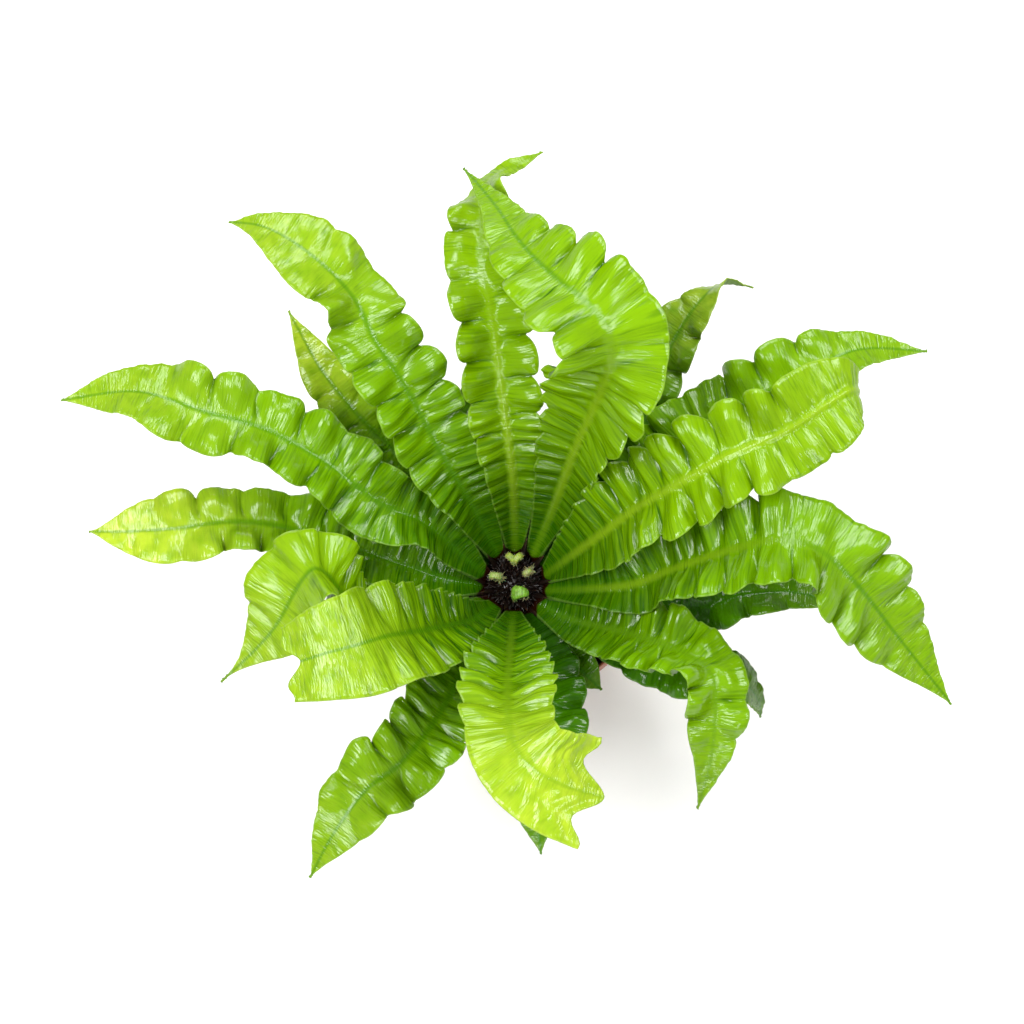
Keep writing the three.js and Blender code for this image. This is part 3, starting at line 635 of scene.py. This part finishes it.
class FERN_OT_fronds(bpy.types.Operator):
    """Builds the twenty waved fronds, each from its stalk beside the crown to its tip."""

    bl_idname = "fern.fronds"
    bl_label = "Waved fronds"

    # How the columns crowd towards the rib, how broad the rib is and how far the round margin
    # stands out in mm, and how far the under face has the look of the blade's back
    crowding = 1.35
    rib_breadth = 2.6
    edge_bulge = 0.3
    back_share = 0.6

    def execute(self, context):
        blades = context.scene.fern_blades
        # The lime and shaded blades are lit and shaded copies of one blade material: painted light
        # and painted shade
        finishes = {
            "lime": blade_lamina("lime_blade_waxy_cuticle", blades.lime, blades),
            "leaf": blade_lamina("leaf_blade_waxy_cuticle", blades.leaf, blades),
            "shade": blade_lamina("shaded_blade_waxy_cuticle", blades.shade, blades),
        }
        for seed, (name, shape) in enumerate(FRONDS.items()):
            frond = {**TYPICAL, **shape}
            thing = self.frond_object(name, frond, blades, 1.7 * seed)
            dress(thing, name, finishes[frond["finish"]])
        return {"FINISHED"}

    def frond_object(self, name, frond, blades, seed):
        """A frond as rings round its midrib, with the columns crowded towards the rib."""
        curve = Curve(np.array([from_crown(*point) for point in frond["midrib"]]))
        t = np.linspace(0, curve.length, int(curve.length * MM / blades.row_step) + 2)
        near = (np.arange(blades.columns + 1) / blades.columns) ** self.crowding
        u = np.concatenate([-near[:0:-1], near])
        surface = blade_surface(frond, curve, t, u, blades.ripple / MM, seed)
        along = np.repeat(t[:, None], len(u), axis=1)
        share = along / curve.length
        rings = self.rings(share, surface)
        count = rings.shape[1]
        faces = [ring_quads(len(t), count), *self.end_caps(len(t), count, len(u))]
        return mesh_object(name + "_fine", rings, faces, self.tints(frond, along, share, surface))

    def rings(self, share, surface):
        """The upper face, and the under face at the blade's thickness, joined round the margins."""
        top, _, rib, _, _ = surface
        middle = np.exp(-(rib / self.rib_breadth) ** 2)
        blade = MARGIN_THICK * 0.8 + (MIDRIB_THICK * (1 - 0.35 * share) - MARGIN_THICK) * middle
        thick = blade + (STALK_THICK - blade) * (1 - smooth(0, 0.16, share))
        under = top - grid_normals(top) * thick[..., None]
        outward = unit(np.gradient(top, axis=1)) * self.edge_bulge
        left = (top[:, :1] + under[:, :1]) / 2 - outward[:, :1]
        right = (top[:, -1:] + under[:, -1:]) / 2 + outward[:, -1:]
        return np.concatenate([top, right, under[:, ::-1], left], axis=1)

    def tints(self, frond, along, share, surface):
        """What the material reads at each point."""
        _, lie, rib, edge, vein = surface
        margin = np.abs(rib) / (np.abs(rib) + edge)
        cord = rib_tone(frond, share) * (0.4 + 0.6 * smooth(0.03, 0.22, share))
        thin = (1 + 1.2 * smooth(0.6, 1, share)) / (1 + 0.4 * cord)
        # Painted shade and light: the crease darkens the fold valleys by the margin, the fold's lie
        # lightens the crests and darkens the valleys, and the ramp to the full green is partly the
        # blade's own darker base and partly painted shade by the crown
        crease_shade = smooth(-0.2, -0.85, lie) * smooth(0.05, 0.35, margin)
        streaked = 0.7 + 1.05 * smooth(0.05, 0.45, share)
        depth_and_shade = (0.86 * smooth(0.02, frond["full"], share) + 0.1 * lie - 0.45 * crease_shade
                 - 0.22 - 0.5 * streaked)
        # Painted light: the pale end is partly its own yellower tone and partly painted light
        pale = 1.3 * frond["pale"] * smooth(0.45, 0.95, share)
        foot = 1 - smooth(1, 8, along - 4 * margin ** 2)
        beneath = np.full_like(lie, self.back_share)
        ring = self.ring_values
        groups = {
            "blade": (ring(rib * thin), ring(vein), ring(streaked)),
            "lie": (ring(cord), ring(edge), ring(np.zeros_like(lie), beneath)),
            "tone": (ring(depth_and_shade), ring(pale), ring(foot)),
        }
        return {key: np.stack(group, -1).reshape(-1, 3) for key, group in groups.items()}

    def ring_values(self, upper, lower=None):
        """Values in the order of a ring's points, the same for both faces unless lower is given."""
        lower = upper if lower is None else lower
        return np.concatenate([upper, upper[:, -1:], lower[:, ::-1], upper[:, :1]], axis=1)

    def end_caps(self, rows, count, columns):
        """Strips from the upper face to the under face that close the first and the last ring."""
        j = np.arange(columns - 1)
        under = 2 * columns - j
        strip = np.stack([j + 1, j, under, under - 1], -1)
        corners = np.array([[columns, columns - 1, columns + 1], [0, count - 1, count - 2]])
        last = (rows - 1) * count
        return [np.concatenate([strip, strip[:, ::-1] + last]),
                np.concatenate([corners, corners[:, ::-1] + last])]


def crown_profile():
    """The crown's outline from its foot to its top, as (radius, height) in mm."""
    r, top = CROWN_RADIUS, CROWN[2]
    return [(0, top - CROWN_DEPTH), (0.55 * r, top - CROWN_DEPTH), (0.9 * r, top - 17),
            (r, top - 11), (r, top - 6.5), (0.84 * r, top - 3), (0.5 * r, top - 0.8), (0, top)]


def end_fans(count, last, foot):
    """Triangles from two middle points, numbered from foot, to the first ring of count points and
    to the one that starts at point last."""
    j = np.arange(count)
    k = (j + 1) % count
    return np.concatenate([np.stack([np.full(count, foot), k, j], -1),
                           np.stack([np.full(count, foot + 1), j + last, k + last], -1)])


def turned(profile, segments, centre=(0.0, 0.0)):
    """A turned shape from (radius, height) pairs that start and end on the axis."""
    profile = np.array(profile, float)
    angle = 2 * np.pi * np.arange(segments) / segments
    inner = profile[1:-1]
    x = centre[0] + inner[:, :1] * np.cos(angle)
    y = centre[1] + inner[:, :1] * np.sin(angle)
    z = np.repeat(inner[:, 1:], segments, axis=1)
    points = np.stack([x, y, z], -1).reshape(-1, 3)
    ends = np.array([[*centre, profile[0, 1]], [*centre, profile[-1, 1]]])
    fans = end_fans(segments, (len(inner) - 1) * segments, len(points))
    return np.concatenate([points, ends]), [ring_quads(len(inner), segments), fans]


def join(parts):
    """Joins (points, faces) parts into one."""
    points, faces, shift = [], {}, 0
    for part_points, part_faces in parts:
        for face in part_faces:
            faces.setdefault(face.shape[1], []).append(face + shift)
        points.append(part_points)
        shift += len(part_points)
    return np.concatenate(points), [np.concatenate(f) for f in faces.values()]


def frame_of(direction):
    """Three unit vectors: the direction, a level one across it and one out of it."""
    along = unit(np.asarray(direction, float))
    across = np.cross(along, (0.0, 0.0, 1.0))
    if np.linalg.norm(across) < 1e-3:
        across = np.cross(along, (0.0, 1.0, 0.0))
    across = unit(across)
    return along, across, np.cross(across, along)


def scale_part(foot, direction, length, width, curl):
    """A lance-shaped papery scale, keeled along its middle, that curls towards its tip."""
    along, across, out = frame_of(direction)
    share = np.array([0.0, 0.2, 0.45, 0.7, 0.88, 1.0])
    breadth = width / 2 * np.array([0.75, 1.0, 0.85, 0.5, 0.22, 0.04])
    spine = foot + along * (length * share)[:, None] - out * (curl * share ** 2)[:, None]
    keel = out * (0.22 * breadth + 0.05)[:, None]
    rings = np.stack([spine - across * breadth[:, None], spine + keel,
                      spine + across * breadth[:, None], spine - keel], axis=1)
    first = np.arange(4)
    last = first[::-1] + 4 * (len(share) - 1)
    return rings.reshape(-1, 3), [ring_quads(len(share), 4)[:, ::-1], np.stack([first, last])]


def towards_tip(part):
    """How far each point of a scale is along it, from 0 at its foot to 1 at its tip."""
    return np.repeat(np.linspace(0, 1, len(part[0]) // 4), 4)


def papery_scale(crown):
    """Dry fern scale: thin, brittle and almost black, with a silky shine and rusty thin edges."""
    material, tree = new_material("papery_fern_scale")
    grow = add(tree, "ShaderNodeAttribute", {"attribute_name": "grow"}).outputs["Fac"]
    where = add(tree, "ShaderNodeTexCoord").outputs["Object"]
    fibre = add(tree, "ShaderNodeTexNoise", Vector=where, Scale=900.0, Detail=3.0).outputs["Fac"]
    rust = add(tree, "ShaderNodeMath", MULTIPLY, i0=grow, i1=fibre).outputs[0]
    rust = add(tree, "ShaderNodeMapRange", Value=rust, From_Min=0.3, From_Max=0.65,
               To_Max=0.9).outputs["Result"]
    brown = add(tree, "ShaderNodeMix", RGBA, Factor=rust, i6=(*crown.scale_colour, 1),
                i7=(*crown.scale_tip, 1)).outputs[2]
    bump = add(tree, "ShaderNodeBump", Strength=0.4, Distance=0.0003, Height=fibre)
    skin = add(tree, "ShaderNodeBsdfPrincipled", Base_Color=brown, Roughness=0.38,
               Normal=bump.outputs["Normal"])
    add(tree, "ShaderNodeOutputMaterial", Surface=skin.outputs[0])
    return material


class FERN_OT_crown(bpy.types.Operator):
    """Builds the crown: a dome on its rootstock, covered with dark pointed scales."""

    bl_idname = "fern.crown"
    bl_label = "Scaly crown"

    # The angle from one scale to the next, the share of them that isn't on the rim, and how far
    # the outermost one hangs over it in mm
    golden = math.pi * (3 - math.sqrt(5))
    rim_share = 0.78
    rim_drop = 5.0

    def execute(self, context):
        crown = context.scene.fern_crown
        rng = np.random.default_rng(SEED)
        body = turned(crown_profile(), 40, CROWN[:2])
        parts, grow = [body], [np.zeros(len(body[0]))]
        self.scales(crown, rng, parts, grow)
        self.wedges(crown, rng, parts, grow)
        points, faces = join(parts)
        thing = mesh_object("crown_scales", points, faces, {"grow": np.concatenate(grow)})
        dress(thing, "crown_rootstock", papery_scale(crown))
        return {"FINISHED"}

    def scales(self, crown, rng, parts, grow):
        """The scales that cover the dome, upright in the middle and leaning out at its rim."""
        for i in range(crown.scale_count):
            share = (i + 0.5) / crown.scale_count
            out = CROWN_RADIUS * math.sqrt(share)
            turn = i * self.golden + rng.normal(0, 0.1)
            over_rim = max(0.0, share - self.rim_share) / (1 - self.rim_share)
            drop = CROWN_FALL * (out / CROWN_RADIUS) ** 3 + self.rim_drop * over_rim
            foot = from_crown(out * 0.96, math.degrees(turn), -0.8 - drop)
            lean = 0.3 + 1.05 * share + rng.normal(0, 0.22)
            direction = leaning(lean, turn + rng.normal(0, 0.5))
            part = scale_part(foot, direction, crown.scale_length / MM * rng.uniform(0.6, 1.25),
                              rng.uniform(1.1, 2.2), rng.uniform(-0.3, 1.2))
            parts.append(part)
            grow.append(towards_tip(part) * rng.uniform(0.3, 1.1))

    def wedges(self, crown, rng, parts, grow):
        """A long scale in each gap between the stalks that stand highest."""
        headings = sorted(frond["midrib"][0][1] for frond in FRONDS.values()
                          if frond["midrib"][0][2] > UPPER_SEAT)
        for near, far in zip(headings, headings[1:] + [headings[0] + 360]):
            turn = math.radians((near + far) / 2 + rng.normal(0, 3))
            direction = leaning(rng.uniform(0.48, 0.62), turn)
            foot = from_crown(CROWN_RADIUS * 0.86, math.degrees(turn), -3)
            part = scale_part(foot, direction, crown.wedge_length / MM * rng.uniform(0.8, 1.1),
                              rng.uniform(3.4, 4.4), rng.uniform(0, 1.5))
            parts.append(part)
            grow.append(towards_tip(part))


def young_growth(crown):
    """A fern's rolled young growth: juicy pale green tissue under a coat of tan down."""
    material, tree = new_material("downy_young_growth")
    grow, tint = (add(tree, "ShaderNodeAttribute", {"attribute_name": key}).outputs["Fac"]
                  for key in ("grow", "tint"))
    where = add(tree, "ShaderNodeTexCoord").outputs["Object"]
    patch = add(tree, "ShaderNodeTexNoise", Vector=where, Scale=700.0, Detail=3.0).outputs["Fac"]
    shaded = add(tree, "ShaderNodeMapRange", Value=patch, From_Min=0.35, From_Max=0.6, To_Min=0.6,
                 To_Max=0.0).outputs["Result"]
    green = (*crown.crozier_green, 1)
    for share, colour in ((tint, crown.crozier_yellow), (shaded, crown.crozier_shade),
                          (grow, crown.down_colour)):
        green = add(tree, "ShaderNodeMix", RGBA, Factor=share, i6=green,
                    i7=(*colour, 1)).outputs[2]
    bump = add(tree, "ShaderNodeBump", Strength=0.5, Distance=0.0003, Height=patch)
    skin = add(tree, "ShaderNodeBsdfPrincipled", Base_Color=green, Roughness=0.4,
               Normal=bump.outputs["Normal"], Subsurface_Weight=0.2, Subsurface_Scale=0.001)
    add(tree, "ShaderNodeOutputMaterial", Surface=skin.outputs[0])
    return material


class FERN_OT_croziers(bpy.types.Operator):
    """Builds the young fronds, rolled up in the middle of the crown, with the down on them."""

    bl_idname = "fern.croziers"
    bl_label = "Croziers"

    # Points along and round a roll, the share of its length that is stem, the leaflets that ridge
    # it, and how pale the down makes its skin
    steps = 60
    sides = 20
    stem_share = 0.2
    ridges = 13
    skin_down = 0.35

    def execute(self, context):
        crown = context.scene.fern_crown
        material = young_growth(crown)
        for number, (name, shape) in enumerate(CROZIERS.items()):
            rng = np.random.default_rng(SEED + number)
            parts, grow = [], []
            for curl in shape["curls"]:
                coil = self.coil(shape, curl)
                roll = self.roll_part(shape, *coil)
                parts.append(roll)
                grow.append(np.full(len(roll[0]), self.skin_down * shape["down"]))
                self.hair_parts(shape, *coil[1:], rng, parts, grow)
            self.tuft_parts(shape, rng, parts, grow)
            points, faces = join(parts)
            values = {"grow": np.concatenate(grow), "tint": np.full(len(points), shape["yellow"])}
            thing = mesh_object(name + "_fine", points, faces, values)
            dress(thing, name, material)
        return {"FINISHED"}

    def seat(self, shape):
        """Where a crozier's foot stands on the crown."""
        out, heading = shape["foot"]
        return from_crown(out, heading, CROZIER_SEAT - CROWN_FALL * (out / CROWN_RADIUS) ** 3)

    def coil(self, shape, curl):
        """A short stem that coils over, at each step along it: the share of the coil that is
        passed, the place, the directions across the coil and out of it, and half the thickness,
        with ridges where the leaflets are folded."""
        forth = level(math.radians(curl))
        up = np.array([0.0, 0.0, 1.0])
        roll = shape["roll"]
        path = np.linspace(0, 1, self.steps + 1)
        q = np.maximum(0, (path - self.stem_share) / (1 - self.stem_share))
        angle = 1.5 * np.pi * q
        radius = roll * (1 - 0.6 * q)
        rise = shape["stem"] * np.minimum(1, path / self.stem_share)
        centre = (self.seat(shape) + forth * (roll - radius * np.cos(angle))[:, None]
                  + up * (rise + radius * np.sin(angle))[:, None])
        outward = -forth * np.cos(angle)[:, None] + up * np.sin(angle)[:, None]
        ridge = 1 + 0.07 * np.sin(2 * np.pi * self.ridges * q) * smooth(0, 0.1, q)
        return q, centre, np.cross(up, forth), outward, roll * (0.5 - 0.1 * q) * ridge

    def roll_part(self, shape, q, centre, side, outward, thick):
        """The flesh round the coil, with a groove along its outer side."""
        around = 2 * np.pi * np.arange(self.sides) / self.sides
        groove = 1 - 0.16 * np.exp(-(np.sin(around / 2 - np.pi / 4) / 0.16) ** 2)
        taper = 1 - 0.7 * (shape["broad"] - 1.3) * smooth(0.1, 0.75, q)
        wide = shape["broad"] * (thick * taper)[:, None] * np.cos(around) * groove
        deep = thick[:, None] * np.sin(around) * groove
        rings = centre[:, None] + side * wide[..., None] + outward[:, None] * deep[..., None]
        points = np.concatenate([rings.reshape(-1, 3), centre[:1], centre[-1:]])
        caps = end_fans(self.sides, self.steps * self.sides, len(points) - 2)
        return points, [ring_quads(self.steps + 1, self.sides), caps]

    def hair_parts(self, shape, centre, side, outward, thick, rng, parts, grow):
        """Short hairs that stand out all over the roll."""
        for _ in range(int(50 + 170 * shape["down"])):
            i = rng.integers(0, self.steps + 1)
            a = rng.uniform(0, 2 * np.pi)
            out_of = side * math.cos(a) + outward[i] * math.sin(a)
            tilt = unit(out_of + rng.normal(0, 0.5, 3))
            skin = side * shape["broad"] * math.cos(a) + outward[i] * math.sin(a)
            root = centre[i] + skin * thick[i] * 0.9
            part = scale_part(root, tilt, rng.uniform(0.6, 1.5), rng.uniform(0.14, 0.28),
                              rng.uniform(-0.2, 0.4))
            parts.append(part)
            grow.append(np.full(len(part[0]), rng.uniform(0.5, 1.0)))

    def tuft_parts(self, shape, rng, parts, grow):
        """Pale scales that stand round a crozier's foot."""
        seat = self.seat(shape)
        for _ in range(int(70 * shape["down"])):
            turn = rng.uniform(0, 2 * math.pi)
            direction = leaning(rng.uniform(0.1, 0.9), turn)
            root = seat + level(turn) * rng.uniform(0, 1.6)
            part = scale_part(root, direction, rng.uniform(2.0, 4.6), rng.uniform(0.35, 0.75),
                              rng.uniform(-0.4, 0.8))
            parts.append(part)
            grow.append(np.full(len(part[0]), rng.uniform(0.7, 1.0)))


def damp_peat(pot):
    """Potting soil: peat fibre and fine bark. Damp, so dark, and rough down to the grain."""
    material, tree = new_material("damp_peat_and_bark")
    where = add(tree, "ShaderNodeTexCoord").outputs["Object"]
    crumb = add(tree, "ShaderNodeTexNoise", Vector=where, Scale=260.0, Detail=6.0,
                Roughness=0.7).outputs["Fac"]
    tone = add(tree, "ShaderNodeMapRange", Value=crumb, From_Min=0.3,
               From_Max=0.72).outputs["Result"]
    brown = add(tree, "ShaderNodeMix", RGBA, Factor=tone, i6=(*pot.soil_shade, 1),
                i7=(*pot.soil_colour, 1)).outputs[2]
    bump = add(tree, "ShaderNodeBump", Strength=0.8, Distance=0.001, Height=crumb)
    skin = add(tree, "ShaderNodeBsdfPrincipled", Base_Color=brown, Roughness=0.9,
               Normal=bump.outputs["Normal"])
    add(tree, "ShaderNodeOutputMaterial", Surface=skin.outputs[0])
    return material


def crumb_part(centre, size, rng):
    """A crumb of soil: a lumpy octahedron."""
    corners = np.array([[1, 0, 0], [0, 1, 0], [-1, 0, 0], [0, -1, 0], [0, 0, 1], [0, 0, -1]], float)
    corners = corners * rng.uniform(0.6, 1.2, (6, 1)) * size * rng.uniform(0.6, 1.0, 3)
    turn = rng.uniform(0, 2 * math.pi)
    spin = np.array([[math.cos(turn), -math.sin(turn), 0], [math.sin(turn), math.cos(turn), 0],
                     [0, 0, 1]])
    sides = np.array([[0, 1, 4], [1, 2, 4], [2, 3, 4], [3, 0, 4], [1, 0, 5], [2, 1, 5], [3, 2, 5],
                      [0, 3, 5]])
    return corners @ spin.T + centre, [sides]


class FERN_OT_soil(bpy.types.Operator):
    """Builds the potting soil: a heaped surface with crumbs, and its body down in the pot."""

    bl_idname = "fern.soil"
    bl_label = "Potting soil"

    # In mm: the radius at the pot's floor, how much lower the edge is than the middle, and how high
    # the lumps are. Then the number of crumbs.
    foot_radius = 41
    heap = 2.4
    lumps = 1.1
    crumbs = 900

    def execute(self, context):
        pot = context.scene.fern_pot
        rng = np.random.default_rng(SEED)
        low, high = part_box("potting_soil")
        foot, reach = low.z / MM, high.x / MM
        profile = [(0, foot), (self.foot_radius, foot), (reach, SOIL_LEVEL - 3)]
        profile += [(r, SOIL_LEVEL - self.heap * (r / reach) ** 3)
                    for r in np.linspace(reach - 0.6, 2, 26)]
        profile.append((0, SOIL_LEVEL))
        points, faces = turned(profile, 120)
        for i in np.nonzero(points[:, 2] > SOIL_LEVEL - 2.9)[0]:
            lump = noise.fractal(Vector(points[i] * 0.16), 1.0, 2.0, 4)
            points[i, 2] += self.lumps * lump - 0.3
        parts = [(points, faces)]
        for _ in range(self.crumbs):
            out = reach * math.sqrt(rng.uniform(0.0, 0.96))
            turn = rng.uniform(0, 2 * math.pi)
            size = rng.uniform(0.5, 1.7)
            centre = out * level(turn)
            centre[2] = SOIL_LEVEL - self.heap * (out / reach) ** 3 - 0.15
            parts.append(crumb_part(centre, size, rng))
        thing = mesh_object("potting_soil_crumbs", *join(parts))
        dress(thing, "potting_soil", damp_peat(pot))
        return {"FINISHED"}


def moulded_polypropylene(pot):
    """Nursery pot plastic: thin injection-moulded polypropylene, terracotta brown. A satin skin
    with faint flow marks and scuffs, a little paler where it has been rubbed."""
    material, tree = new_material("moulded_polypropylene")
    where = add(tree, "ShaderNodeTexCoord").outputs["Object"]
    cloud = add(tree, "ShaderNodeTexNoise", Vector=where, Scale=28.0, Detail=4.0).outputs["Fac"]
    fine = add(tree, "ShaderNodeTexNoise", Vector=where, Scale=1800.0).outputs["Fac"]
    rubbed = add(tree, "ShaderNodeMapRange", Value=cloud, From_Min=0.35, From_Max=0.7,
                 To_Max=0.15).outputs["Result"]
    brown = add(tree, "ShaderNodeMix", RGBA, Factor=rubbed, i6=(*pot.pot_colour, 1),
                i7=(*pot.pot_dust, 1)).outputs[2]
    rough = add(tree, "ShaderNodeMapRange", Value=cloud, From_Min=0.3, From_Max=0.7, To_Min=0.38,
                To_Max=0.55).outputs["Result"]
    bump = add(tree, "ShaderNodeBump", Strength=0.25, Distance=0.0002, Height=fine)
    skin = add(tree, "ShaderNodeBsdfPrincipled", Base_Color=brown, Roughness=rough, IOR=1.49,
               Normal=bump.outputs["Normal"])
    add(tree, "ShaderNodeOutputMaterial", Surface=skin.outputs[0])
    return material


class FERN_OT_pot(bpy.types.Operator):
    """Builds the thin-walled tapered pot, with its deeper band round the rim and drain holes."""

    bl_idname = "fern.pot"
    bl_label = "Nursery pot"

    # In mm: how thick the wall and the floor are, how deep the band round the rim is and how far it
    # stands out, the base's radius, and the radius of the drain holes and of the ring they are on
    wall = 1.4
    floor = 2
    band = 13.0
    proud = 2.0
    base_radius = 43.0
    drain_radius = 4
    drain_ring = 29
    drain_holes = 6

    def execute(self, context):
        pot = context.scene.fern_pot
        rim, top = pot.rim_radius / MM, pot.height / MM
        foot = top - self.band
        wall_top = rim - self.proud
        inside = self.base_radius - self.wall
        profile = [
            (0, 0), (self.base_radius - 1.4, 0), (self.base_radius - 0.4, 0.4),
            (self.base_radius, 1.5), (wall_top, foot - 0.6), (wall_top + 0.3, foot - 0.1),
            (rim - 0.4, foot), (rim, foot + 0.4), (rim, top - 0.7), (rim - 0.2, top - 0.2),
            (rim - 0.7, top), (rim - 1.2, top - 0.2), (rim - self.wall, top - 0.7),
            (rim - self.wall - 0.4, foot + self.wall), (wall_top - self.wall, foot),
            (inside, self.floor + 0.6), (inside - 0.8, self.floor), (0, self.floor)]
        thing = mesh_object("nursery_pot_moulded", *turned(profile, 128))
        self.drill(thing)
        dress(thing, "nursery_pot", moulded_polypropylene(pot))
        return {"FINISHED"}

    def drill(self, thing):
        """Cuts the drain holes through the floor."""
        profile = [(0, -3), (self.drain_radius, -3), (self.drain_radius, 6), (0, 6)]
        turns = 2 * math.pi * np.arange(self.drain_holes) / self.drain_holes
        drills = [turned(profile, 24, self.drain_ring * level(turn)[:2]) for turn in turns]
        cutter = mesh_object("drain_drill", *join(drills))
        cut = thing.modifiers.new("drain", "BOOLEAN")
        cut.object = cutter
        cut.solver = "EXACT"
        bpy.context.view_layer.update()
        graph = bpy.context.evaluated_depsgraph_get()
        mesh = bpy.data.meshes.new_from_object(thing.evaluated_get(graph))
        thing.modifiers.clear()
        thing.data = mesh
        bpy.data.objects.remove(cutter)
        mesh.set_sharp_from_angle(angle=math.radians(35))


def matt_floor(stage):
    """A plain pale studio floor: matt paint, with the faintest cloud in its tone."""
    material, tree = new_material("matt_studio_floor")
    where = add(tree, "ShaderNodeTexCoord").outputs["Object"]
    cloud = add(tree, "ShaderNodeTexNoise", Vector=where, Scale=3.0).outputs["Fac"]
    pale = add(tree, "ShaderNodeMix", RGBA, Factor=cloud,
               i6=(*(0.97 * c for c in stage.floor_colour), 1),
               i7=(*stage.floor_colour, 1)).outputs[2]
    skin = add(tree, "ShaderNodeBsdfPrincipled", Base_Color=pale, Roughness=0.9)
    add(tree, "ShaderNodeOutputMaterial", Surface=skin.outputs[0])
    return material


class FERN_OT_stage(bpy.types.Operator):
    """Sets the floor, the soft lights, the world and the camera."""

    bl_idname = "fern.stage"
    bl_label = "Stage"

    def execute(self, context):
        stage = context.scene.fern_stage
        corners = np.array([[-1, -1, 0], [1, -1, 0], [1, 1, 0], [-1, 1, 0]])
        floor = mesh_object("studio_floor", corners * (stage.floor_size / 2 / MM),
                            [np.array([[0, 1, 2, 3]])])
        floor.data.materials.append(matt_floor(stage))
        for name, (place, size, power) in SOFTBOXES.items():
            self.light(context, name, place, size, power)
        world = bpy.data.worlds.new("pale_studio")
        world.use_nodes = True
        sky = world.node_tree.nodes["Background"].inputs
        sky["Color"].default_value = (1, 1, 1, 1)
        sky["Strength"].default_value = stage.sky_strength
        context.scene.world = world
        context.scene.view_settings.view_transform = "Standard"
        self.camera(context, stage)
        return {"FINISHED"}

    def light(self, context, name, place, size, power):
        """A soft light that is aimed at the crown."""
        data = bpy.data.lights.new(name, "AREA")
        data.size = size
        data.energy = power
        lamp = bpy.data.objects.new(name, data)
        lamp.location = place
        aim = Vector(CROWN * MM) - lamp.location
        lamp.rotation_euler = aim.to_track_quat("-Z", "Y").to_euler()
        context.scene.collection.objects.link(lamp)

    def camera(self, context, stage):
        """Looks down steeply, as in the photograph."""
        data = bpy.data.cameras.new("camera")
        data.lens = stage.lens
        data.sensor_width = 36
        data.clip_end = 50
        camera = bpy.data.objects.new("camera", data)
        camera.location = CAMERA_PLACE
        camera.rotation_euler = (math.radians(CAMERA_TILT), 0, 0)
        context.scene.collection.objects.link(camera)
        context.scene.camera = camera


class FERN_PT_sidebar(bpy.types.Panel):
    """Lists the fern's settings and the operators that build it."""

    bl_label = "Crispy Wave Fern"
    bl_idname = "FERN_PT_sidebar"
    bl_space_type = "VIEW_3D"
    bl_region_type = "UI"
    bl_category = "Fern"

    def draw(self, context):
        for group, operators in SECTIONS:
            box = self.layout.box()
            settings = getattr(context.scene, group)
            for name in settings.__annotations__:
                box.prop(settings, name)
            for operator in operators:
                box.operator(operator.bl_idname)


GROUPS = {
    "fern_blades": FernBladeSettings,
    "fern_crown": FernCrownSettings,
    "fern_pot": FernPotSettings,
    "fern_stage": FernStageSettings,
}
SECTIONS = (
    ("fern_stage", (FERN_OT_stage,)),
    ("fern_blades", (FERN_OT_fronds,)),
    ("fern_crown", (FERN_OT_crown, FERN_OT_croziers)),
    ("fern_pot", (FERN_OT_soil, FERN_OT_pot)),
)
OPERATORS = tuple(operator for _, operators in SECTIONS for operator in operators)
CLASSES = (*GROUPS.values(), *OPERATORS, FERN_PT_sidebar)


def register():
    for item in CLASSES:
        bpy.utils.register_class(item)
    for name, group in GROUPS.items():
        setattr(bpy.types.Scene, name, PointerProperty(type=group))


def unregister():
    for name in GROUPS:
        delattr(bpy.types.Scene, name)
    for item in reversed(CLASSES):
        bpy.utils.unregister_class(item)


def main():
    register()
    bpy.ops.fern.stage()
    bpy.ops.fern.fronds()
    bpy.ops.fern.crown()
    bpy.ops.fern.croziers()
    bpy.ops.fern.soil()
    bpy.ops.fern.pot()


if __name__ == "__main__":
    main()
